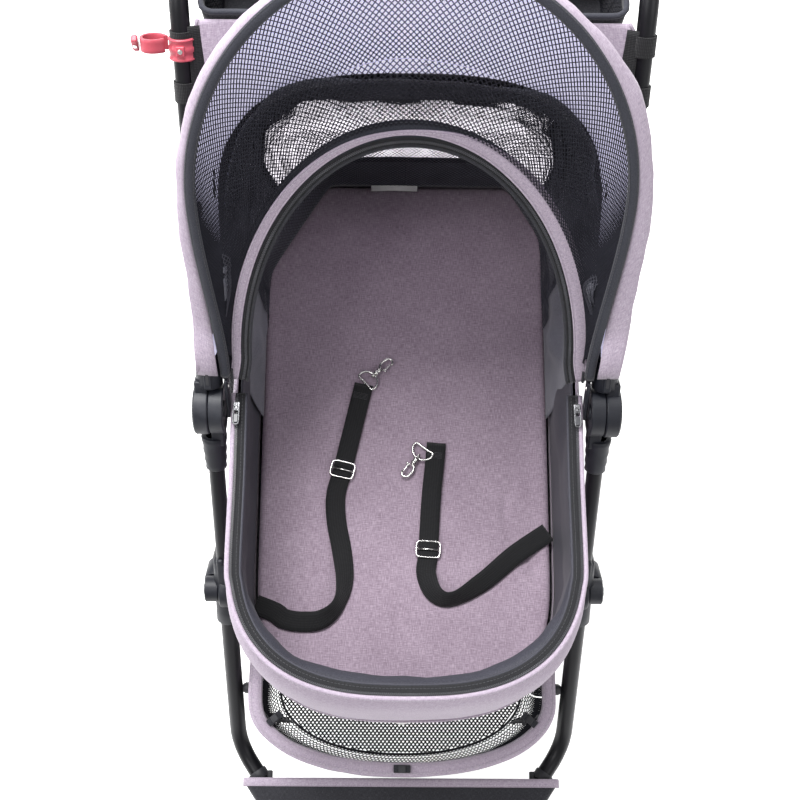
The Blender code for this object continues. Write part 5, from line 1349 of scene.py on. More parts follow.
for tag, sx in SIDES:
    x = sx * TRACK
    tube(f"middle_tube_{tag}", [L(-0.046, x), L(-0.262, x)], R_UP, "chassis", f"mid_tube_{tag}")
    leg_in = Vector((0.045 * sx, HUB_Y - 0.593, YOKE_Z - 0.0015))
    bend = W(x, *BEND)
    run = (leg_in - bend).normalized()
    tube(f"front_leg_{tag}", rounded([L(-0.288, x), bend, leg_in + run * 0.016], 0.06), R_LEG, "chassis", f"leg_tube_{tag}")
    # fold hub, lower half
    X = Vector((sx, 0, 0))
    hubc = W(0, 0, 0)
    sharp(turned(f"hub_inner_{tag}", [(0.0001, 0.2262), (0.0280, 0.2262), (0.0290, 0.2252), (0.0290, 0.2108), (0.0280, 0.2098), (0.0215, 0.2098), (0.0200, 0.2110), (0.0105, 0.2110), (0.0095, 0.2094), (0.0001, 0.2094)], hubc, X, HUB, "chassis", 72,
                 replaces=(f"hub_lower_{tag}",), slot="hub_plastic"), 40)
    block(f"hub_lower_web_{tag}", L(-0.030, sx * 0.2190), (0.0150, 0.0235, 0.0320), HUB, "chassis", 0.0022, turn=Vector((0, 0, 1)).rotation_difference(-UP).to_matrix(), slot="hub_plastic")
    collar(f"hub_lower_socket_{tag}", -0.082, -0.036, 0.0126, 0.0152, x, HUB, "chassis", ribs=3, slot="hub_plastic")
    # upper half
    sharp(turned(f"hub_outer_{tag}", [(0.0001, 0.2432), (0.0085, 0.2432), (0.0092, 0.2420), (0.0200, 0.2420), (0.0212, 0.2434), (0.0286, 0.2434), (0.0300, 0.2418), (0.0300, 0.2280), (0.0290, 0.2269), (0.0001, 0.2269)], hubc, X, HUB, "handle", 72,
                 replaces=(f"hub_upper_{tag}",), slot="hub_plastic"), 40)
    block(f"hub_upper_web_{tag}", L(0.0270, sx * 0.2345), (0.0146, 0.0235, 0.0300), HUB, "handle", 0.0024, turn=Vector((0, 0, 1)).rotation_difference(UP).to_matrix(), slot="hub_plastic")
    collar(f"hub_upper_socket_{tag}", 0.0330, 0.0718, 0.0153, 0.0141, x, HUB, "handle", slot="hub_plastic")
    # latch rib with its slot down the front of the sleeve
    fwd = Vector((0, -UP.z, UP.y))
    m3 = Matrix((Vector((1, 0, 0)), fwd, UP)).transposed()
    block(f"hub_rib_{tag}", L(0.0520, x) + fwd * 0.0140, (0.0085, 0.0042, 0.0340), HUB, "handle", 0.0013, turn=m3, slot="hub_plastic")
    block(f"hub_slot_{tag}", L(0.0500, x) + fwd * 0.0160, (0.0036, 0.0014, 0.0180), HUB_DARK, "handle", 0.0004, turn=m3, slot="hub_plastic")
    for j in range(3):
        block(f"hub_notch_{tag}_{j}", L(0.0570 + 0.0042 * j, x) + fwd * 0.0162, (0.0080, 0.0012, 0.0016), HUB_DARK, "handle", 0.0004, turn=m3, slot="hub_plastic")
    screw_head(f"hub_bolt_{tag}", W(sx * 0.2428, 0, 0), X, 0.0066, STEEL, "handle", 0.0024)
    sharp(turned(f"hub_ring_{tag}", [(0.0262, 0.2442), (0.0272, 0.2438), (0.0274, 0.2430), (0.0246, 0.2430), (0.0248, 0.2438)], hubc, X, HUB_DARK, "handle", 64), 60)
    # fold latch
    collar(f"latch_sleeve_{tag}", 0.0727, 0.1038, 0.0141, 0.0119, x, HUB, f"latch_{tag}", ribs=4, replaces=(f"fold_latch_{tag}",), slot="hub_plastic")
    # rear-leg bracket
    sharp(turned(f"bracket_sleeve_{tag}", [(0.0001 + R_LEG, -0.0480), (0.0146, -0.0480), (0.0156, -0.0465), (0.0152, -0.030), (0.0142, 0.0300), (0.0138, 0.0470), (0.0128, 0.0484), (R_UP + 0.0003, 0.0484), (R_UP + 0.0003, 0.0100), (R_UP + 0.0003, -0.012), (R_LEG + 0.0003, -0.0150)][::-1], L(-0.2735, x), UP, HUB, "chassis", 48,
                 replaces=(f"leg_bracket_{tag}",), slot="hub_plastic"), 40)
    sharp(turned(f"bracket_plate_{tag}", [(0.0001, 0.2332), (0.0205, 0.2332), (0.0228, 0.2318), (0.0234, 0.2300), (0.0234, 0.2210), (0.0220, 0.2190), (0.0001, 0.2190)], Vector((0, L(BRACKET_S).y, L(BRACKET_S).z)), X, HUB, "chassis", 64, slot="hub_plastic"), 40)
    screw_head(f"bracket_bolt_{tag}", Vector((sx * 0.2520, L(BRACKET_S).y, L(BRACKET_S).z)), X, 0.0070, STEEL, "chassis", 0.0024)
    sharp(turned(f"bracket_pin_{tag}", [(0.0001, 0.2526), (0.0050, 0.2526), (0.0050, 0.2320), (0.0001, 0.2320)], Vector((0, L(BRACKET_S).y, L(BRACKET_S).z)), X, STEEL, "chassis", 28), 40)
    for j, sd in enumerate((-0.240, -0.300)):
        screw_head(f"bracket_rivet_{tag}_{j}", L(sd, x) + Vector((-sx * 0.0141, 0, 0)), -X, 0.0034, STEEL, "chassis", 0.0014)
    cheek_ = Matrix((Vector((1, 0, 0)), Vector((0, -UP.z, UP.y)), UP)).transposed()
    block(f"bracket_cheek_{tag}", L(-0.262, sx * 0.2290), (0.0100, 0.0270, 0.0900), HUB, "chassis", 0.0040, turn=cheek_, slot="hub_plastic")
    # rear leg
    p0, p1 = L(BRACKET_S, sx * 0.2428), Vector((sx * 0.2165, HUB_Y + AXLE_Y, REAR_R))
    tube(f"rear_leg_tube_{tag}", [p0, p1], 0.0100, "rear_frame", f"rear_leg_{tag}")
    sharp(turned(f"rear_leg_eye_{tag}", [(0.0056, 0.0088), (0.0150, 0.0088), (0.0164, 0.0076), (0.0164, -0.0074), (0.0150, -0.0088), (0.0056, -0.0088)], p0, X, HUB, "rear_frame", 48, slot="hub_plastic"), 40)
    sharp(turned(f"rear_leg_foot_{tag}", [(0.0056, 0.0103), (0.0160, 0.0103), (0.0174, 0.0090), (0.0174, -0.0088), (0.0160, -0.0102), (0.0056, -0.0102)], p1, X, HUB, "rear_frame", 48, slot="hub_plastic"), 40)
    d_ = (p1 - p0).normalized()
    for nm, q in (("top", p0 + d_ * 0.030), ("foot", p1 - d_ * 0.032)):
        sharp(turned(f"rear_leg_{nm}_sleeve_{tag}", [(0.0101, 0.016), (0.0126, 0.016), (0.0134, 0.0148), (0.0134, -0.0148), (0.0126, -0.016), (0.0101, -0.016)], q, d_, HUB, "rear_frame", 36, slot="hub_plastic"), 40)
    # spacer on the leg and a clip that holds the basket
    sharp(turned(f"spacer_{tag}", [(0.0001, 0.0094), (0.0048, 0.0094), (0.0056, 0.0086), (0.0074, 0.0056), (0.0074, 0.0006), (0.0068, 0.0), (0.0001, 0.0)], W(sx * 0.2045, -0.2725, -0.355), X, HUB_DARK, "chassis", 32,
                 replaces=(f"basket_spacer_{tag}",), slot="hub_plastic"), 40)
    c_ = bend + run * 0.050
    sharp(turned(f"leg_band_{tag}", [(R_LEG + 0.0001, 0.006), (R_LEG + 0.0014, 0.006), (R_LEG + 0.0020, 0.005), (R_LEG + 0.0020, -0.005), (R_LEG + 0.0014, -0.006), (R_LEG + 0.0001, -0.006)], c_, run, HUB_DARK, "chassis", 36, slot="hub_plastic"), 50)
    block(f"leg_clip_{tag}", c_ + Vector((-sx * 0.0150, 0, 0.002)), (0.0075, 0.012, 0.008), HUB_DARK, "chassis", 0.0014, slot="hub_plastic")
    # webbing strap beside the handle tube
    st = smoothed([L(0.44, sx * 0.2105) + fwd * 0.002, L(0.36, sx * 0.2095) + fwd * 0.004, L(0.30, sx * 0.2100) + fwd * 0.002, L(0.26, sx * 0.2110)], 0.006)
    ribbon(f"handle_strap_{tag}", st, 0.017, 0.0016, WEB, "handle", up=tuple(Vector((-sx * 0.5, -UP.z, UP.y)).normalized()), slot="webbing")

top = [L(0.046, -TRACK), L(0.470, -TRACK), W(-TRACK, *HANDLE_END), W(TRACK, *HANDLE_END), L(0.470, TRACK), L(0.046, TRACK)]
tube("handle_frame", rounded(top, 0.050), R_UP, "handle", "handle_tube")
grip = [(0.0102, 0.1602), (0.0132, 0.1602), (0.0142, 0.1590)]
for i in range(33):
    f = 0.156 - 0.312 * i / 32
    grip.append((0.0155 - (0.0006 if i % 2 else 0.0), f))
grip += [(0.0142, -0.1590), (0.0132, -0.1602), (0.0102, -0.1602)]
sharp(turned("grip_foam", grip, W(0, *HANDLE_END), (1, 0, 0), FOAM, "handle", 56, replaces=("handle_grip",), slot="foam"), 70)
for tag, sx in SIDES:
    sharp(turned(f"grip_cap_{tag}", [(0.0098, 0.0050), (0.0135, 0.0050), (0.0146, 0.0036), (0.0146, 0.0), (0.0098, 0.0)], W(sx * 0.1606, *HANDLE_END), (sx, 0, 0), HUB_DARK, "handle", 40, slot="hub_plastic"), 50)

# ------------------------------------------------------------------ handle tray
rows = []
for z, dx, dy in ((0.2892, 0.1905, 0.009), (0.2895, 0.1935, 0.006), (0.2920, 0.1952, 0.0045), (0.300, 0.1965, 0.004), (0.312, 0.1995, 0.0025), (0.325, 0.2030, 0.001), (0.338, 0.2042, 0.0005), (0.350, 0.2050, 0.0002), (0.3585, 0.2054, 0.0)):
    ring = []
    n_ = 12
    cs = ((-dx, 0.275 + dy), (dx, 0.275 + dy), (dx, 0.361 - dy), (-dx, 0.361 - dy))
    rad = 0.012
    corners_ = [(-dx + rad, 0.275 + dy + rad, 180), (dx - rad, 0.275 + dy + rad, 270), (dx - rad, 0.361 - dy - rad, 0), (-dx + rad, 0.361 - dy - rad, 90)]
    for ci, (cx, cy, a0) in enumerate(corners_):
        for i in range(9):
            a = math.radians(a0 + 90 * i / 8)
            ring.append((cx + rad * math.cos(a), cy + rad * math.sin(a)))
        nx = corners_[(ci + 1) % 4]
        a1 = math.radians(a0 + 90)
        x0_, y0_ = cx + rad * math.cos(a1), cy + rad * math.sin(a1)
        x1_, y1_ = nx[0] + rad * math.cos(math.radians(nx[2])), nx[1] + rad * math.sin(math.radians(nx[2]))
        m_ = 30 if ci in (0, 2) else 6
        for i in range(1, m_):
            ring.append((x0_ + (x1_ - x0_) * i / m_, y0_ + (y1_ - y0_) * i / m_))
    rows.append([W(x, y + 0.0016 * soft((x, y, z), 0.05, 101) * min(1, (z - 0.289) * 40), z) for x, y in ring])
tray = grid("tray_cloth", rows, BLACKCLOTH, "handle", closed=True, thick=0.0022, offset=0.0, replaces=("organiser",), slot="black_cloth")
place("tray_floor", [tuple(p) for p in rows[0]], [list(range(len(rows[0])))], BLACKCLOTH, "handle", [(p.x, p.y) for p in rows[0]], slot="black_cloth")
sweep("tray_binding", resample([tuple(p + Vector((0, 0, 0.0010))) for p in rows[-1]], 0.006, True), 0.0030, BINDING, "handle", sides=12, closed=True, slot="black_cloth")
blocks("tray_stitches", [tuple(p + Vector((0, 0, -0.0040))) for p in rows[-1]], up_z, THREAD_BLACK, "handle", 0.0042, (0.0030, 0.0030, 0.0006), slot="black_cloth")
inner = rows[2:8]
inner_closed = [[Vector(p) for p in even(r, 300)] for r in inner]
net("tray_net", [[tuple(p + Vector((-math.copysign(0.0022, p.x), (-0.0022 if p.y > HUB_Y + 0.318 else 0.0022), 0))) for p in r] for r in inner_closed], 0.0050, 0.0031, 0.0011, 0.0007, NETFINE, "handle", hexed=False, slot="black_mesh")
for k, x_ in enumerate((-0.068, 0.068)):
    ribbon(f"tray_divider_{k}", [W(x_, 0.279, 0.345), W(x_, 0.318, 0.338), W(x_, 0.357, 0.345)], 0.034, 0.0016, BLACKCLOTH, "handle", up=(1, 0, 0), slot="black_cloth")
for tag, sx in SIDES:
    for k, s_ in enumerate((0.375, 0.425)):
        c_ = L(s_, sx * TRACK)
        sharp(turned(f"tray_loop_{tag}_{k}", [(R_UP + 0.0002, 0.010), (R_UP + 0.0018, 0.010), (R_UP + 0.0018, -0.010), (R_UP + 0.0002, -0.010)], c_, UP, WEB, "handle", 36, slot="webbing"), 50)
        ribbon(f"tray_web_{tag}_{k}", [c_ + Vector((-sx * 0.0100, 0, 0)), c_ + Vector((-sx * 0.0200, 0.010, -0.004))], 0.018, 0.0014, WEB, "handle", up=tuple(fwd), slot="webbing")

# lilac corner cloths behind the hood, from the tray down to the hood's outer face
for tag, sx in SIDES:
    low = hood_row(FRONT, 52.5, -0.0030, 241)
    low = sorted(((p.x * sx, p) for p in low if p.x * sx > 0.085 and math.hypot(p.y - HUB_Y, p.z - HUB_Z) > 0.315), key=lambda q: q[0])
    low = resample([p for _, p in low], 0.0036)
    n_ = len(low)
    rows = []
    for i in range(19):
        t = i / 18
        row = []
        for j in range(n_):
            u = j / (n_ - 1)
            a_ = np.array(tuple(W(sx * (0.090 + 0.1185 * u), 0.2712, 0.3540)))
            b_ = low[j]
            q = a_ * (1 - t) + b_ * t
            bulge = math.sin(math.pi * t)
            lift = 0.010 * bulge * (0.4 + 0.6 * u) + 0.0050 * bulge * soft(q, 0.040, 111) + 0.0028 * bulge * math.sin(19 * u + 6 * t + 2 * soft(q, 0.05, 117))
            q = q + np.array([sx * (0.022 if sx > 0 else 0.008) * bulge * u * u, lift * 0.30, lift * 0.45])
            row.append(tuple(q))
        rows.append(row)
    roof = grid(f"hood_corner_{tag}", rows, LILAC, "handle", thick=0.0010, offset=0.0, slot="lilac_cloth")
    sweep(f"hood_corner_hem_{tag}", smoothed([r[-1] for r in rows][::2], 0.004), 0.0018, LILAC_DARK, "handle", sides=10, slot="lilac_cloth")

# ------------------------------------------------------------------ umbrella clip
c = L(CLIP_S, -TRACK)
sharp(turned("clip_collar_body", [(0.0100, 0.0108), (0.0122, 0.0108), (0.0132, 0.0100), (0.0134, 0.0090), (0.0124, 0.0080), (0.0124, 0.0030), (0.0131, 0.0022), (0.0131, -0.0022), (0.0124, -0.0030), (0.0124, -0.0080), (0.0134, -0.0090), (0.0132, -0.0100), (0.0122, -0.0108), (0.0100, -0.0108)], c, UP, PINK, "handle", 56,
             replaces=("clip_collar",), slot="clip_plastic"), 60)
block("clip_screw_boss", c + Vector((0, 0, 0)) + Vector((0, -UP.z, UP.y)) * 0.0128, (0.0085, 0.0095, 0.0035), PINK, "handle", 0.0012, turn=Matrix((Vector((1, 0, 0)), UP, Vector((0, -UP.z, UP.y)))).transposed(), slot="clip_plastic")
screw_head("clip_screw", c + Vector((0, -UP.z, UP.y)) * 0.0144, Vector((0, -UP.z, UP.y)), 0.0026, NICKEL, "handle", 0.0012)
rc = L(CLIP_S + 0.004, -0.2524)
# open ring: a split band with rounded lips
ring_pts, side = [], Vector((0, -UP.z, UP.y))
prof = [(0.0104, 0.0066), (0.0126, 0.0068), (0.0133, 0.0058), (0.0129, 0.0030), (0.0129, -0.0030), (0.0133, -0.0058), (0.0126, -0.0068), (0.0104, -0.0066), (0.0100, -0.0050), (0.0103, 0.0), (0.0100, 0.0050)]
sections = []
for i in range(61):
    a = math.radians(-58 + 316 * i / 60 + 90)
    d = Vector((1, 0, 0)) * math.cos(a) + side * math.sin(a)
    lip = 0.0012 * math.exp(-(min(i, 60 - i) / 3.0) ** 2)
    sections.append([tuple(rc + d * (r + (lip if r > 0.0115 else -lip * 0.1)) + UP * h) for r, h in prof])
loft("clip_open_ring", sections, PINK, "clip_holder", caps=True, replaces=("clip_ring",), slot="clip_plastic")
sharp(bpy.data.objects["clip_open_ring"], 50)
tabm = Matrix((Vector((1, 0, 0)), side, UP)).transposed()
block("clip_tab_plate", rc + Vector((-0.0176, 0, 0)), (0.0060, 0.0078, 0.0176), PINK, "clip_holder", 0.0016, replaces=("clip_tab",), slot="clip_plastic")
for j in range(4):
    block(f"clip_tab_rib_{j}", rc + Vector((-0.0205, 0, -0.0055 + 0.0037 * j)), (0.0012, 0.0070, 0.0014), PINK, "clip_holder", 0.0004, slot="clip_plastic")
screw_head("clip_tab_screw", rc + Vector((-0.0176, -0.0039, 0.0)), (0, -1, 0), 0.0024, NICKEL, "clip_holder", 0.0010)

# ------------------------------------------------------------------ yoke and front caster
yoke_ring = [(-0.064, YOKE_Y + 0.034), (-0.034, YOKE_Y - 0.030), (-0.020, YOKE_Y - 0.036)]
yoke_ring = yoke_ring + [(-a, b) for a, b in reversed(yoke_ring)]


def cushion(name, ring, z0, z1, mat, body, round_=0.004, segs=5, **k):
    """A moulded slab with rounded corners and edges; ring is hub-relative x, y and z0..z1 are absolute."""
    ring = [Vector((a, b)) for a, b in ring]
    n = len(ring)
    pts, nor = [], []
    for i in range(n):
        p, q, r = ring[i - 1], ring[i], ring[(i + 1) % n]
        u, v = (p - q).normalized(), (r - q).normalized()
        half = u.angle(v) / 2
        rad = 0.006
        t = min(rad / math.tan(half), 0.4 * min((p - q).length, (r - q).length))
        rr = t * math.tan(half)
        cc = q + (u + v).normalized() * (rr / math.sin(half))
        s_, e_ = q + u * t - cc, q + v * t - cc
        a0, a1 = math.atan2(s_.y, s_.x), math.atan2(e_.y, e_.x)
        da = (a1 - a0 + math.pi) % math.tau - math.pi
        for j in range(segs + 1):
            a = a0 + da * j / segs
            nor.append(Vector((math.cos(a), math.sin(a))))
            pts.append(cc + Vector((math.cos(a), math.sin(a))) * rr)
    rings = []
    lev = [(z0, round_)] + [(z0 + round_ * (1 - math.cos(math.radians(b))), round_ * (1 - math.sin(math.radians(b)))) for b in (30, 60, 90)]
    lev += [(z1 - round_ * (1 - math.cos(math.radians(b))), round_ * (1 - math.sin(math.radians(b)))) for b in (90, 60, 30)] + [(z1, round_)]
    for z, inset in lev:
        rings.append([(p.x - m.x * inset, HUB_Y + p.y - m.y * inset, z) for p, m in zip(pts, nor)])
    return sharp(loft(name, rings, mat, body, caps=True, **k), 50)


cushion("yoke_body", yoke_ring, YOKE_Z - 0.0218, YOKE_Z + 0.0223, HUB, "chassis", 0.0045, replaces=("front_yoke",), slot="hub_plastic")
STEM = Vector((0, HUB_Y + YOKE_Y, 0))
sharp(turned("yoke_cap", [(0.0001, 0.0040), (0.0100, 0.0038), (0.0125, 0.0024), (0.0130, 0.0), (0.0001, 0.0)], STEM + Vector((0, 0, YOKE_Z + 0.0222)), (0, 0, 1), HUB_DARK, "chassis", 48), 50)
for tag, sx in SIDES:
    leg_in = Vector((0.045 * sx, HUB_Y - 0.593, YOKE_Z - 0.0015))
    run = (leg_in - W(sx * TRACK, *BEND)).normalized()
    sharp(turned(f"yoke_socket_{tag}", [(R_LEG + 0.0004, -0.0120), (0.0142, -0.0120), (0.0152, -0.0105), (0.0160, 0.0), (0.0172, 0.0120), (R_LEG + 0.0004, 0.0120)], leg_in - run * 0.016, run, HUB, "chassis", 40, slot="hub_plastic"), 50)
    screw_head(f"yoke_bolt_{tag}", Vector((sx * 0.040, HUB_Y + YOKE_Y + 0.022, YOKE_Z + 0.0221)), (0, 0, 1), 0.0052, STEEL, "chassis", 0.0018)
FWC = Vector((0, HUB_Y + FRONT_WHEEL_Y, FRONT_R))
fork_ring = [(-0.0343, YOKE_Y - 0.0215), (0.0343, YOKE_Y - 0.0215), (0.0343, YOKE_Y + 0.0295), (-0.0343, YOKE_Y + 0.0295)]
cushion("fork_crown", fork_ring, 0.1637, 0.1763, HUB, "front_caster", 0.0028, replaces=("front_fork",), slot="hub_plastic")
sharp(turned("fork_stem", [(0.0001, 0.2143), (0.0068, 0.2143), (0.0077, 0.2130), (0.0077, 0.1760), (0.0001, 0.1760)], STEM, (0, 0, 1), STEEL, "front_caster", 32), 50)
sharp(turned("fork_bearing", [(0.0001, 0.1793), (0.0150, 0.1793), (0.0158, 0.1785), (0.0158, 0.1762), (0.0001, 0.1762)], STEM, (0, 0, 1), STEEL, "front_caster", 40), 50)
for tag, sx in SIDES:
    rings = []
    for i in range(15):
        t = i / 14
        z = 0.169 - (0.169 - (FWC.z - 0.0155)) * t
        hw = 0.0136 - 0.0030 * math.sin(math.pi * min(1.0, t * 1.25)) if t < 0.8 else 0.0136
        yc = FWC.y
        r_ = []
        for a in range(24):
            an = math.tau * a / 24
            ex = abs(math.cos(an)) ** 0.45 * math.copysign(1, math.cos(an))
            ey = abs(math.sin(an)) ** 0.45 * math.copysign(1, math.sin(an))
            r_.append((sx * (0.0315 + 0.0028 * ex), yc + hw * ey, z))
        rings.append(r_)
    sharp(loft(f"fork_arm_{tag}", rings, HUB, "front_caster", caps=True, slot="hub_plastic"), 60)
sharp(turned("front_axle_pin", [(0.0001, 0.0384), (0.0072, 0.0384), (0.0084, 0.0374), (0.0084, 0.0350), (0.0041, 0.0350), (0.0041, -0.0350), (0.0084, -0.0350), (0.0084, -0.0374), (0.0072, -0.0384), (0.0001, -0.0384)], FWC, (1, 0, 0), STEEL, "front_caster", 40,
             replaces=("front_axle",), slot="axle_steel"), 40)
LOCKC = Vector((0, HUB_Y + YOKE_Y - 0.0425, YOKE_Z + 0.016))
rings = []
for i in range(17):
    t = i / 16
    z = LOCKC.z + 0.0040 - 0.0300 * t
    hw = 0.0128 - 0.0012 * t
    d0 = 0.0038 * min(1.0, 0.55 + 6 * min(t, 1 - t))
    fl = 0.0
    rings.append([(hw * (abs(math.cos(an)) ** 0.4) * math.copysign(1, math.cos(an)), LOCKC.y + fl + d0 * (abs(math.sin(an)) ** 0.6) * math.copysign(1, math.sin(an)), z) for an in (math.tau * a / 24 for a in range(24))])
sharp(loft("lock_lever_body", rings, RED, "lock_lever", caps=True, replaces=("swivel_lock",), slot="brake_plastic"), 60)
for j in range(4):
    block(f"lock_lever_grip_{j}", LOCKC + Vector((0, -0.0037, -0.0230 + 0.0032 * j)), (0.0180, 0.0012, 0.0014), RED, "lock_lever", 0.0004, slot="brake_plastic")


# ------------------------------------------------------------------ wheels
def wheel(name, centre, radius, body, bore, hub_r, band, rim_node, tyre_node):
    w = 0.018
    r1 = radius - 0.016
    q = Vector((0, 0, 1)).rotation_difference(Vector((1, 0, 0))).to_matrix()
    X = Vector((1, 0, 0))
    # rim hoop
    sharp(turned(name + "_hoop", [(r1 - 0.0004, w * 0.80), (r1 - 0.0022, w * 0.83), (r1 - band + 0.0010, w * 0.78), (r1 - band - 0.0004, w * 0.60), (r1 - band - 0.0016, 0.0), (r1 - band - 0.0004, -w * 0.60), (r1 - band + 0.0010, -w * 0.78), (r1 - 0.0022, -w * 0.83), (r1 - 0.0004, -w * 0.80)], centre, X, RIMPLASTIC, body, 96,
                 replaces=(rim_node,), slot="rim_plastic"), 40)
    # hub barrel
    sharp(turned(name + "_hub", [(bore + 0.0006, w * 0.92), (hub_r * 0.62, w * 0.92), (hub_r * 0.72, w * 0.86), (hub_r - 0.0010, w * 0.84), (hub_r, w * 0.78), (hub_r + 0.0012, w * 0.30), (hub_r + 0.0026, 0), (hub_r + 0.0012, -w * 0.30), (hub_r, -w * 0.78), (hub_r - 0.0010, -w * 0.84), (hub_r * 0.72, -w * 0.86), (hub_r * 0.62, -w * 0.92), (bore + 0.0006, -w * 0.92)], centre, X, RIMPLASTIC, body, 72, slot="rim_plastic"), 40)
    for sg in (-1, 1):
        sharp(turned(f"{name}_bearing_{'lr'[sg > 0]}", [(bore + 0.0004, 0.0), (bore + 0.0004, 0.0012), (hub_r * 0.58, 0.0012), (hub_r * 0.60, 0.0)], centre + X * sg * w * 0.90, X * sg, STEEL, body, 40, slot="axle_steel"), 50)
    # five broad spokes with raised edges
    r_in, r_out = hub_r - 0.0005, r1 - band + 0.0012
    for i in range(5):
        a = math.tau * (i + 0.5) / 5
        rad = Vector((0, math.cos(a), math.sin(a)))
        tan = Vector((0, -math.sin(a), math.cos(a)))
        rings = []
        for j in range(13):
            t = j / 12
            rr = r_in + (r_out - r_in) * t
            hw = (0.0078 - 0.0026 * math.sin(math.pi * t)) * (radius / 0.12) ** 0.5
            hw += 0.0030 * max(0, (t - 0.85) / 0.15) ** 2 + 0.0030 * max(0, (0.15 - t) / 0.15) ** 2
            th = 0.0052 - 0.0016 * t
            prof = [(-hw, 0.0), (-hw, th), (-hw + 0.0012, th + 0.0007), (-hw + 0.0026, th), (-hw * 0.45, th * 0.45), (hw * 0.45, th * 0.45), (hw - 0.0026, th), (hw - 0.0012, th + 0.0007), (hw, th), (hw, 0)]
            prof = prof + [(p, -h) for p, h in reversed(prof[1:-1])]
            rings.append([tuple(centre + rad * (rr - 0.0006 * (p / max(hw, 1e-6)) ** 2) + tan * p + X * h) for p, h in prof])
        sharp(loft(f"{name}_spoke_{i}", rings, RIMPLASTIC, body, caps=True, slot="rim_plastic"), 45)
    # tyre carcass with a tread of staggered blocks
    t = radius - r1 - 0.0004
    prof = [(r1 + 0.0004, w * 0.80)]
    for i in range(1, 24):
        a = math.radians(180 * i / 24)
        prof.append((r1 + 0.0004 + (t - 0.0016) * math.sin(a) ** 0.75, w * 0.985 * abs(math.cos(a)) ** 0.62 * (1 if a <= math.pi / 2 else -1)))
    prof.append((r1 + 0.0004, -w * 0.80))
    turned(name + "_carcass", prof, centre, X, RUBBER, body, 120, replaces=(tyre_node,), slot="rubber")
    for k_, hgt in enumerate((0.55, -0.55)):
        turned(f"{name}_bead_{k_}", [(r1 + t * 0.40, w * 0.93 * math.copysign(1, hgt)), (r1 + t * 0.46, w * 0.985 * math.copysign(1, hgt)), (r1 + t * 0.52, w * 0.93 * math.copysign(1, hgt))], centre, X, RUBBER, body, 96, slot="rubber")
    n_ = int(math.tau * radius / 0.0115)
    V, F = [], []
    for i in range(n_):
        for row in (-2, -1, 0, 1, 2):
            a = math.tau * (i + (0.5 if row % 2 else 0.0)) / n_
            hx = row * 0.0062
            base_r = r1 + 0.0004 + (t - 0.0016) * max(0.0, 1 - (abs(hx) / (w * 0.985)) ** 3.2) ** 0.24
            lx, lt, lr = 0.0026, 0.0042, min(0.0015, radius - 0.00015 - base_r)
            if row in (-2, 2):
                lx, lt = 0.0022, 0.0034
            rad = Vector((0, math.cos(a), math.sin(a)))
            tan = Vector((0, -math.sin(a), math.cos(a)))
            tl = math.atan2((1 - (abs(hx) / w) ** 2), 1)
            slant = 0.45 * (1 if row > 0 else -1 if row < 0 else 0)
            nb = len(V)
            for dz, sc in ((-0.0012, 1.12), (lr - 0.0003, 1.0), (lr, 0.88)):
                for ux, ut in ((-1, -1), (1, -1), (1, 1), (-1, 1)):
                    px_, pt = ux * lx * sc, ut * lt * sc
                    px_, pt = px_ * math.cos(slant) - pt * math.sin(slant), px_ * math.sin(slant) + pt * math.cos(slant)
                    drop = 0.0
                    ax = abs(hx + px_)
                    loc = r1 + 0.0004 + (t - 0.0016) * max(0.0, 1 - (min(ax, w * 0.97) / (w * 0.985)) ** 3.2) ** 0.24
                    rr = min(loc + dz, radius - 0.00015)
                    V.append(tuple(centre + X * (hx + px_) + rad * (rr * math.cos(pt / rr)) + tan * (rr * math.sin(pt / rr))))
            for lv in range(2):
                for e in range(4):
                    b0, b1 = nb + lv * 4 + e, nb + lv * 4 + (e + 1) % 4
                    F.append([b0, b1, b1 + 4, b0 + 4])
            F.append([nb + 8, nb + 9, nb + 10, nb + 11])
    uv = [(V[i][0], math.atan2(V[i][2] - centre.z, V[i][1] - centre.y) * radius) for f in F for i in f]
    place(name + "_tread", V, F, RUBBER, body, uv, smooth=False, slot="rubber")


AXLEC = Vector((0, HUB_Y + AXLE_Y, REAR_R))
wheel("front_wheel", FWC, FRONT_R, "front_wheel", 0.0046, 0.014, 0.007, "front_wheel_rim", "front_wheel_tyre")
for tag, sx in SIDES:
    wc = AXLEC + Vector((sx * HALF_TRACK, 0, 0))
    wheel(f"rear_wheel_{tag}", wc, REAR_R, f"rear_wheel_{tag}", 0.0057, 0.018, 0.009, f"rear_wheel_{tag}_rim", f"rear_wheel_{tag}_tyre")
sharp(turned("rear_axle_tube", [(0.0001, 0.2733), (0.0044, 0.2733), (0.0052, 0.2724), (0.0052, 0.2058), (0.0110, 0.2053), (0.0110, -0.2053), (0.0052, -0.2058), (0.0052, -0.2724), (0.0044, -0.2733), (0.0001, -0.2733)], AXLEC, (1, 0, 0), TUBE, "rear_frame", 48,
             replaces=("rear_axle",), slot="axle_steel"), 40)
for tag, sx in SIDES:
    sharp(turned(f"axle_collar_{tag}", [(0.0111, 0.0070), (0.0132, 0.0070), (0.0138, 0.0062), (0.0138, -0.0062), (0.0132, -0.0070), (0.0111, -0.0070)], AXLEC + Vector((sx * 0.1985, 0, 0)), (1, 0, 0), HUB, "rear_frame", 36, slot="hub_plastic"), 50)

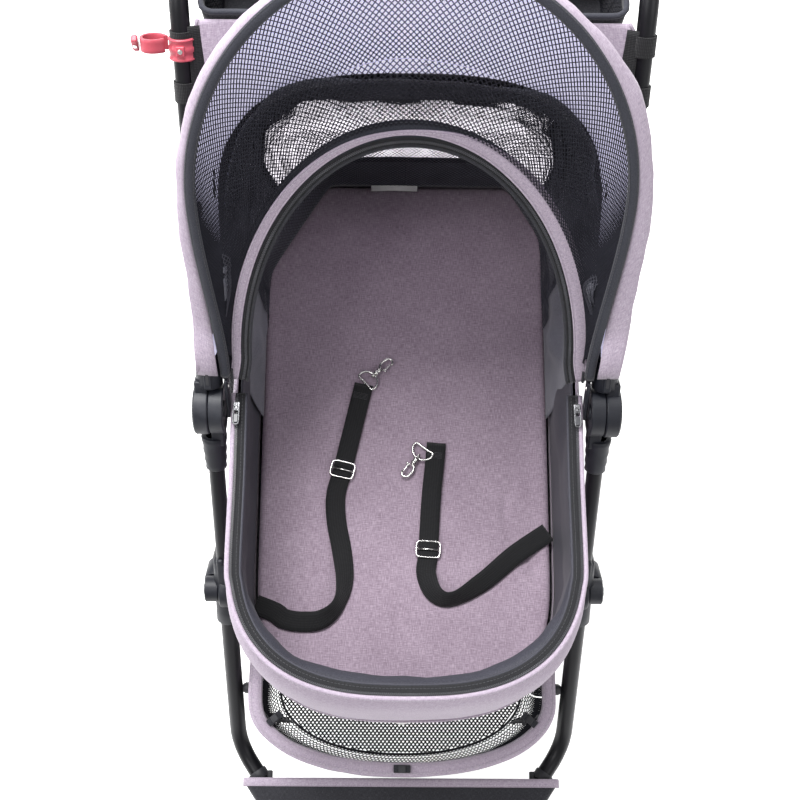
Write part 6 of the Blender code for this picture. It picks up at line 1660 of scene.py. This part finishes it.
# brake bar and its tread
BARC = AXLEC + Vector((0, 0.036, 0.014))
sweep("brake_rod", [BARC + Vector((-0.185, 0, 0)), BARC - Vector((0.09, 0, 0)), BARC + Vector((0.09, 0, 0)), BARC + Vector((0.185, 0, 0))], 0.0050, STEEL, "brake", sides=24, replaces=("brake_bar",), slot="brake_plastic")
for tag, sx in SIDES:
    cc = AXLEC + Vector((sx * 0.178, 0, 0))
    sharp(turned(f"brake_ring_{tag}", [(0.0118, 0.0068), (0.0154, 0.0068), (0.0164, 0.0058), (0.0164, -0.0058), (0.0154, -0.0068), (0.0118, -0.0068)], cc, (1, 0, 0), HUB, "brake", 48, slot="brake_plastic"), 50)
    mid = cc + Vector((0, 0.0235, 0.0080))
    block(f"brake_arm_{tag}", mid, (0.0098, 0.0250, 0.0120), HUB, "brake", 0.0018, slot="brake_plastic")
cushion("brake_tread", [(-0.0348, BARC.y - HUB_Y - 0.0058), (0.0348, BARC.y - HUB_Y - 0.0058), (0.0348, BARC.y - HUB_Y + 0.0298), (-0.0348, BARC.y - HUB_Y + 0.0298)], BARC.z - 0.0034, BARC.z + 0.0034, RED, "brake", 0.0016, slot="brake_plastic")
for j in range(5):
    block(f"brake_tread_rib_{j}", BARC + Vector((0, 0.0040 + 0.0052 * j, 0.0036)), (0.058, 0.0018, 0.0014), RED, "brake", 0.0005, slot="brake_plastic")

# plates that hold the bow at the hub
for tag, sx in SIDES:
    ax = Vector((0, math.cos(BOW_ANGLE), math.sin(BOW_ANGLE)))
    m3 = Matrix((Vector((1, 0, 0)), Vector((0, -ax.z, ax.y)), ax)).transposed()
    block(f"bow_foot_{tag}", W(sx * 0.2053, 0, 0) + ax * 0.019, (0.0038, 0.0158, 0.0536), HUB, "hood", 0.0013, turn=m3, replaces=(f"bow_plate_{tag}",), slot="bow_wire")
    screw_head(f"bow_rivet_{tag}", W(sx * 0.2053, 0, 0) + ax * 0.034 + Vector((-sx * 0.0019, 0, 0)), (-sx, 0, 0), 0.0034, NICKEL, "hood", 0.0010)
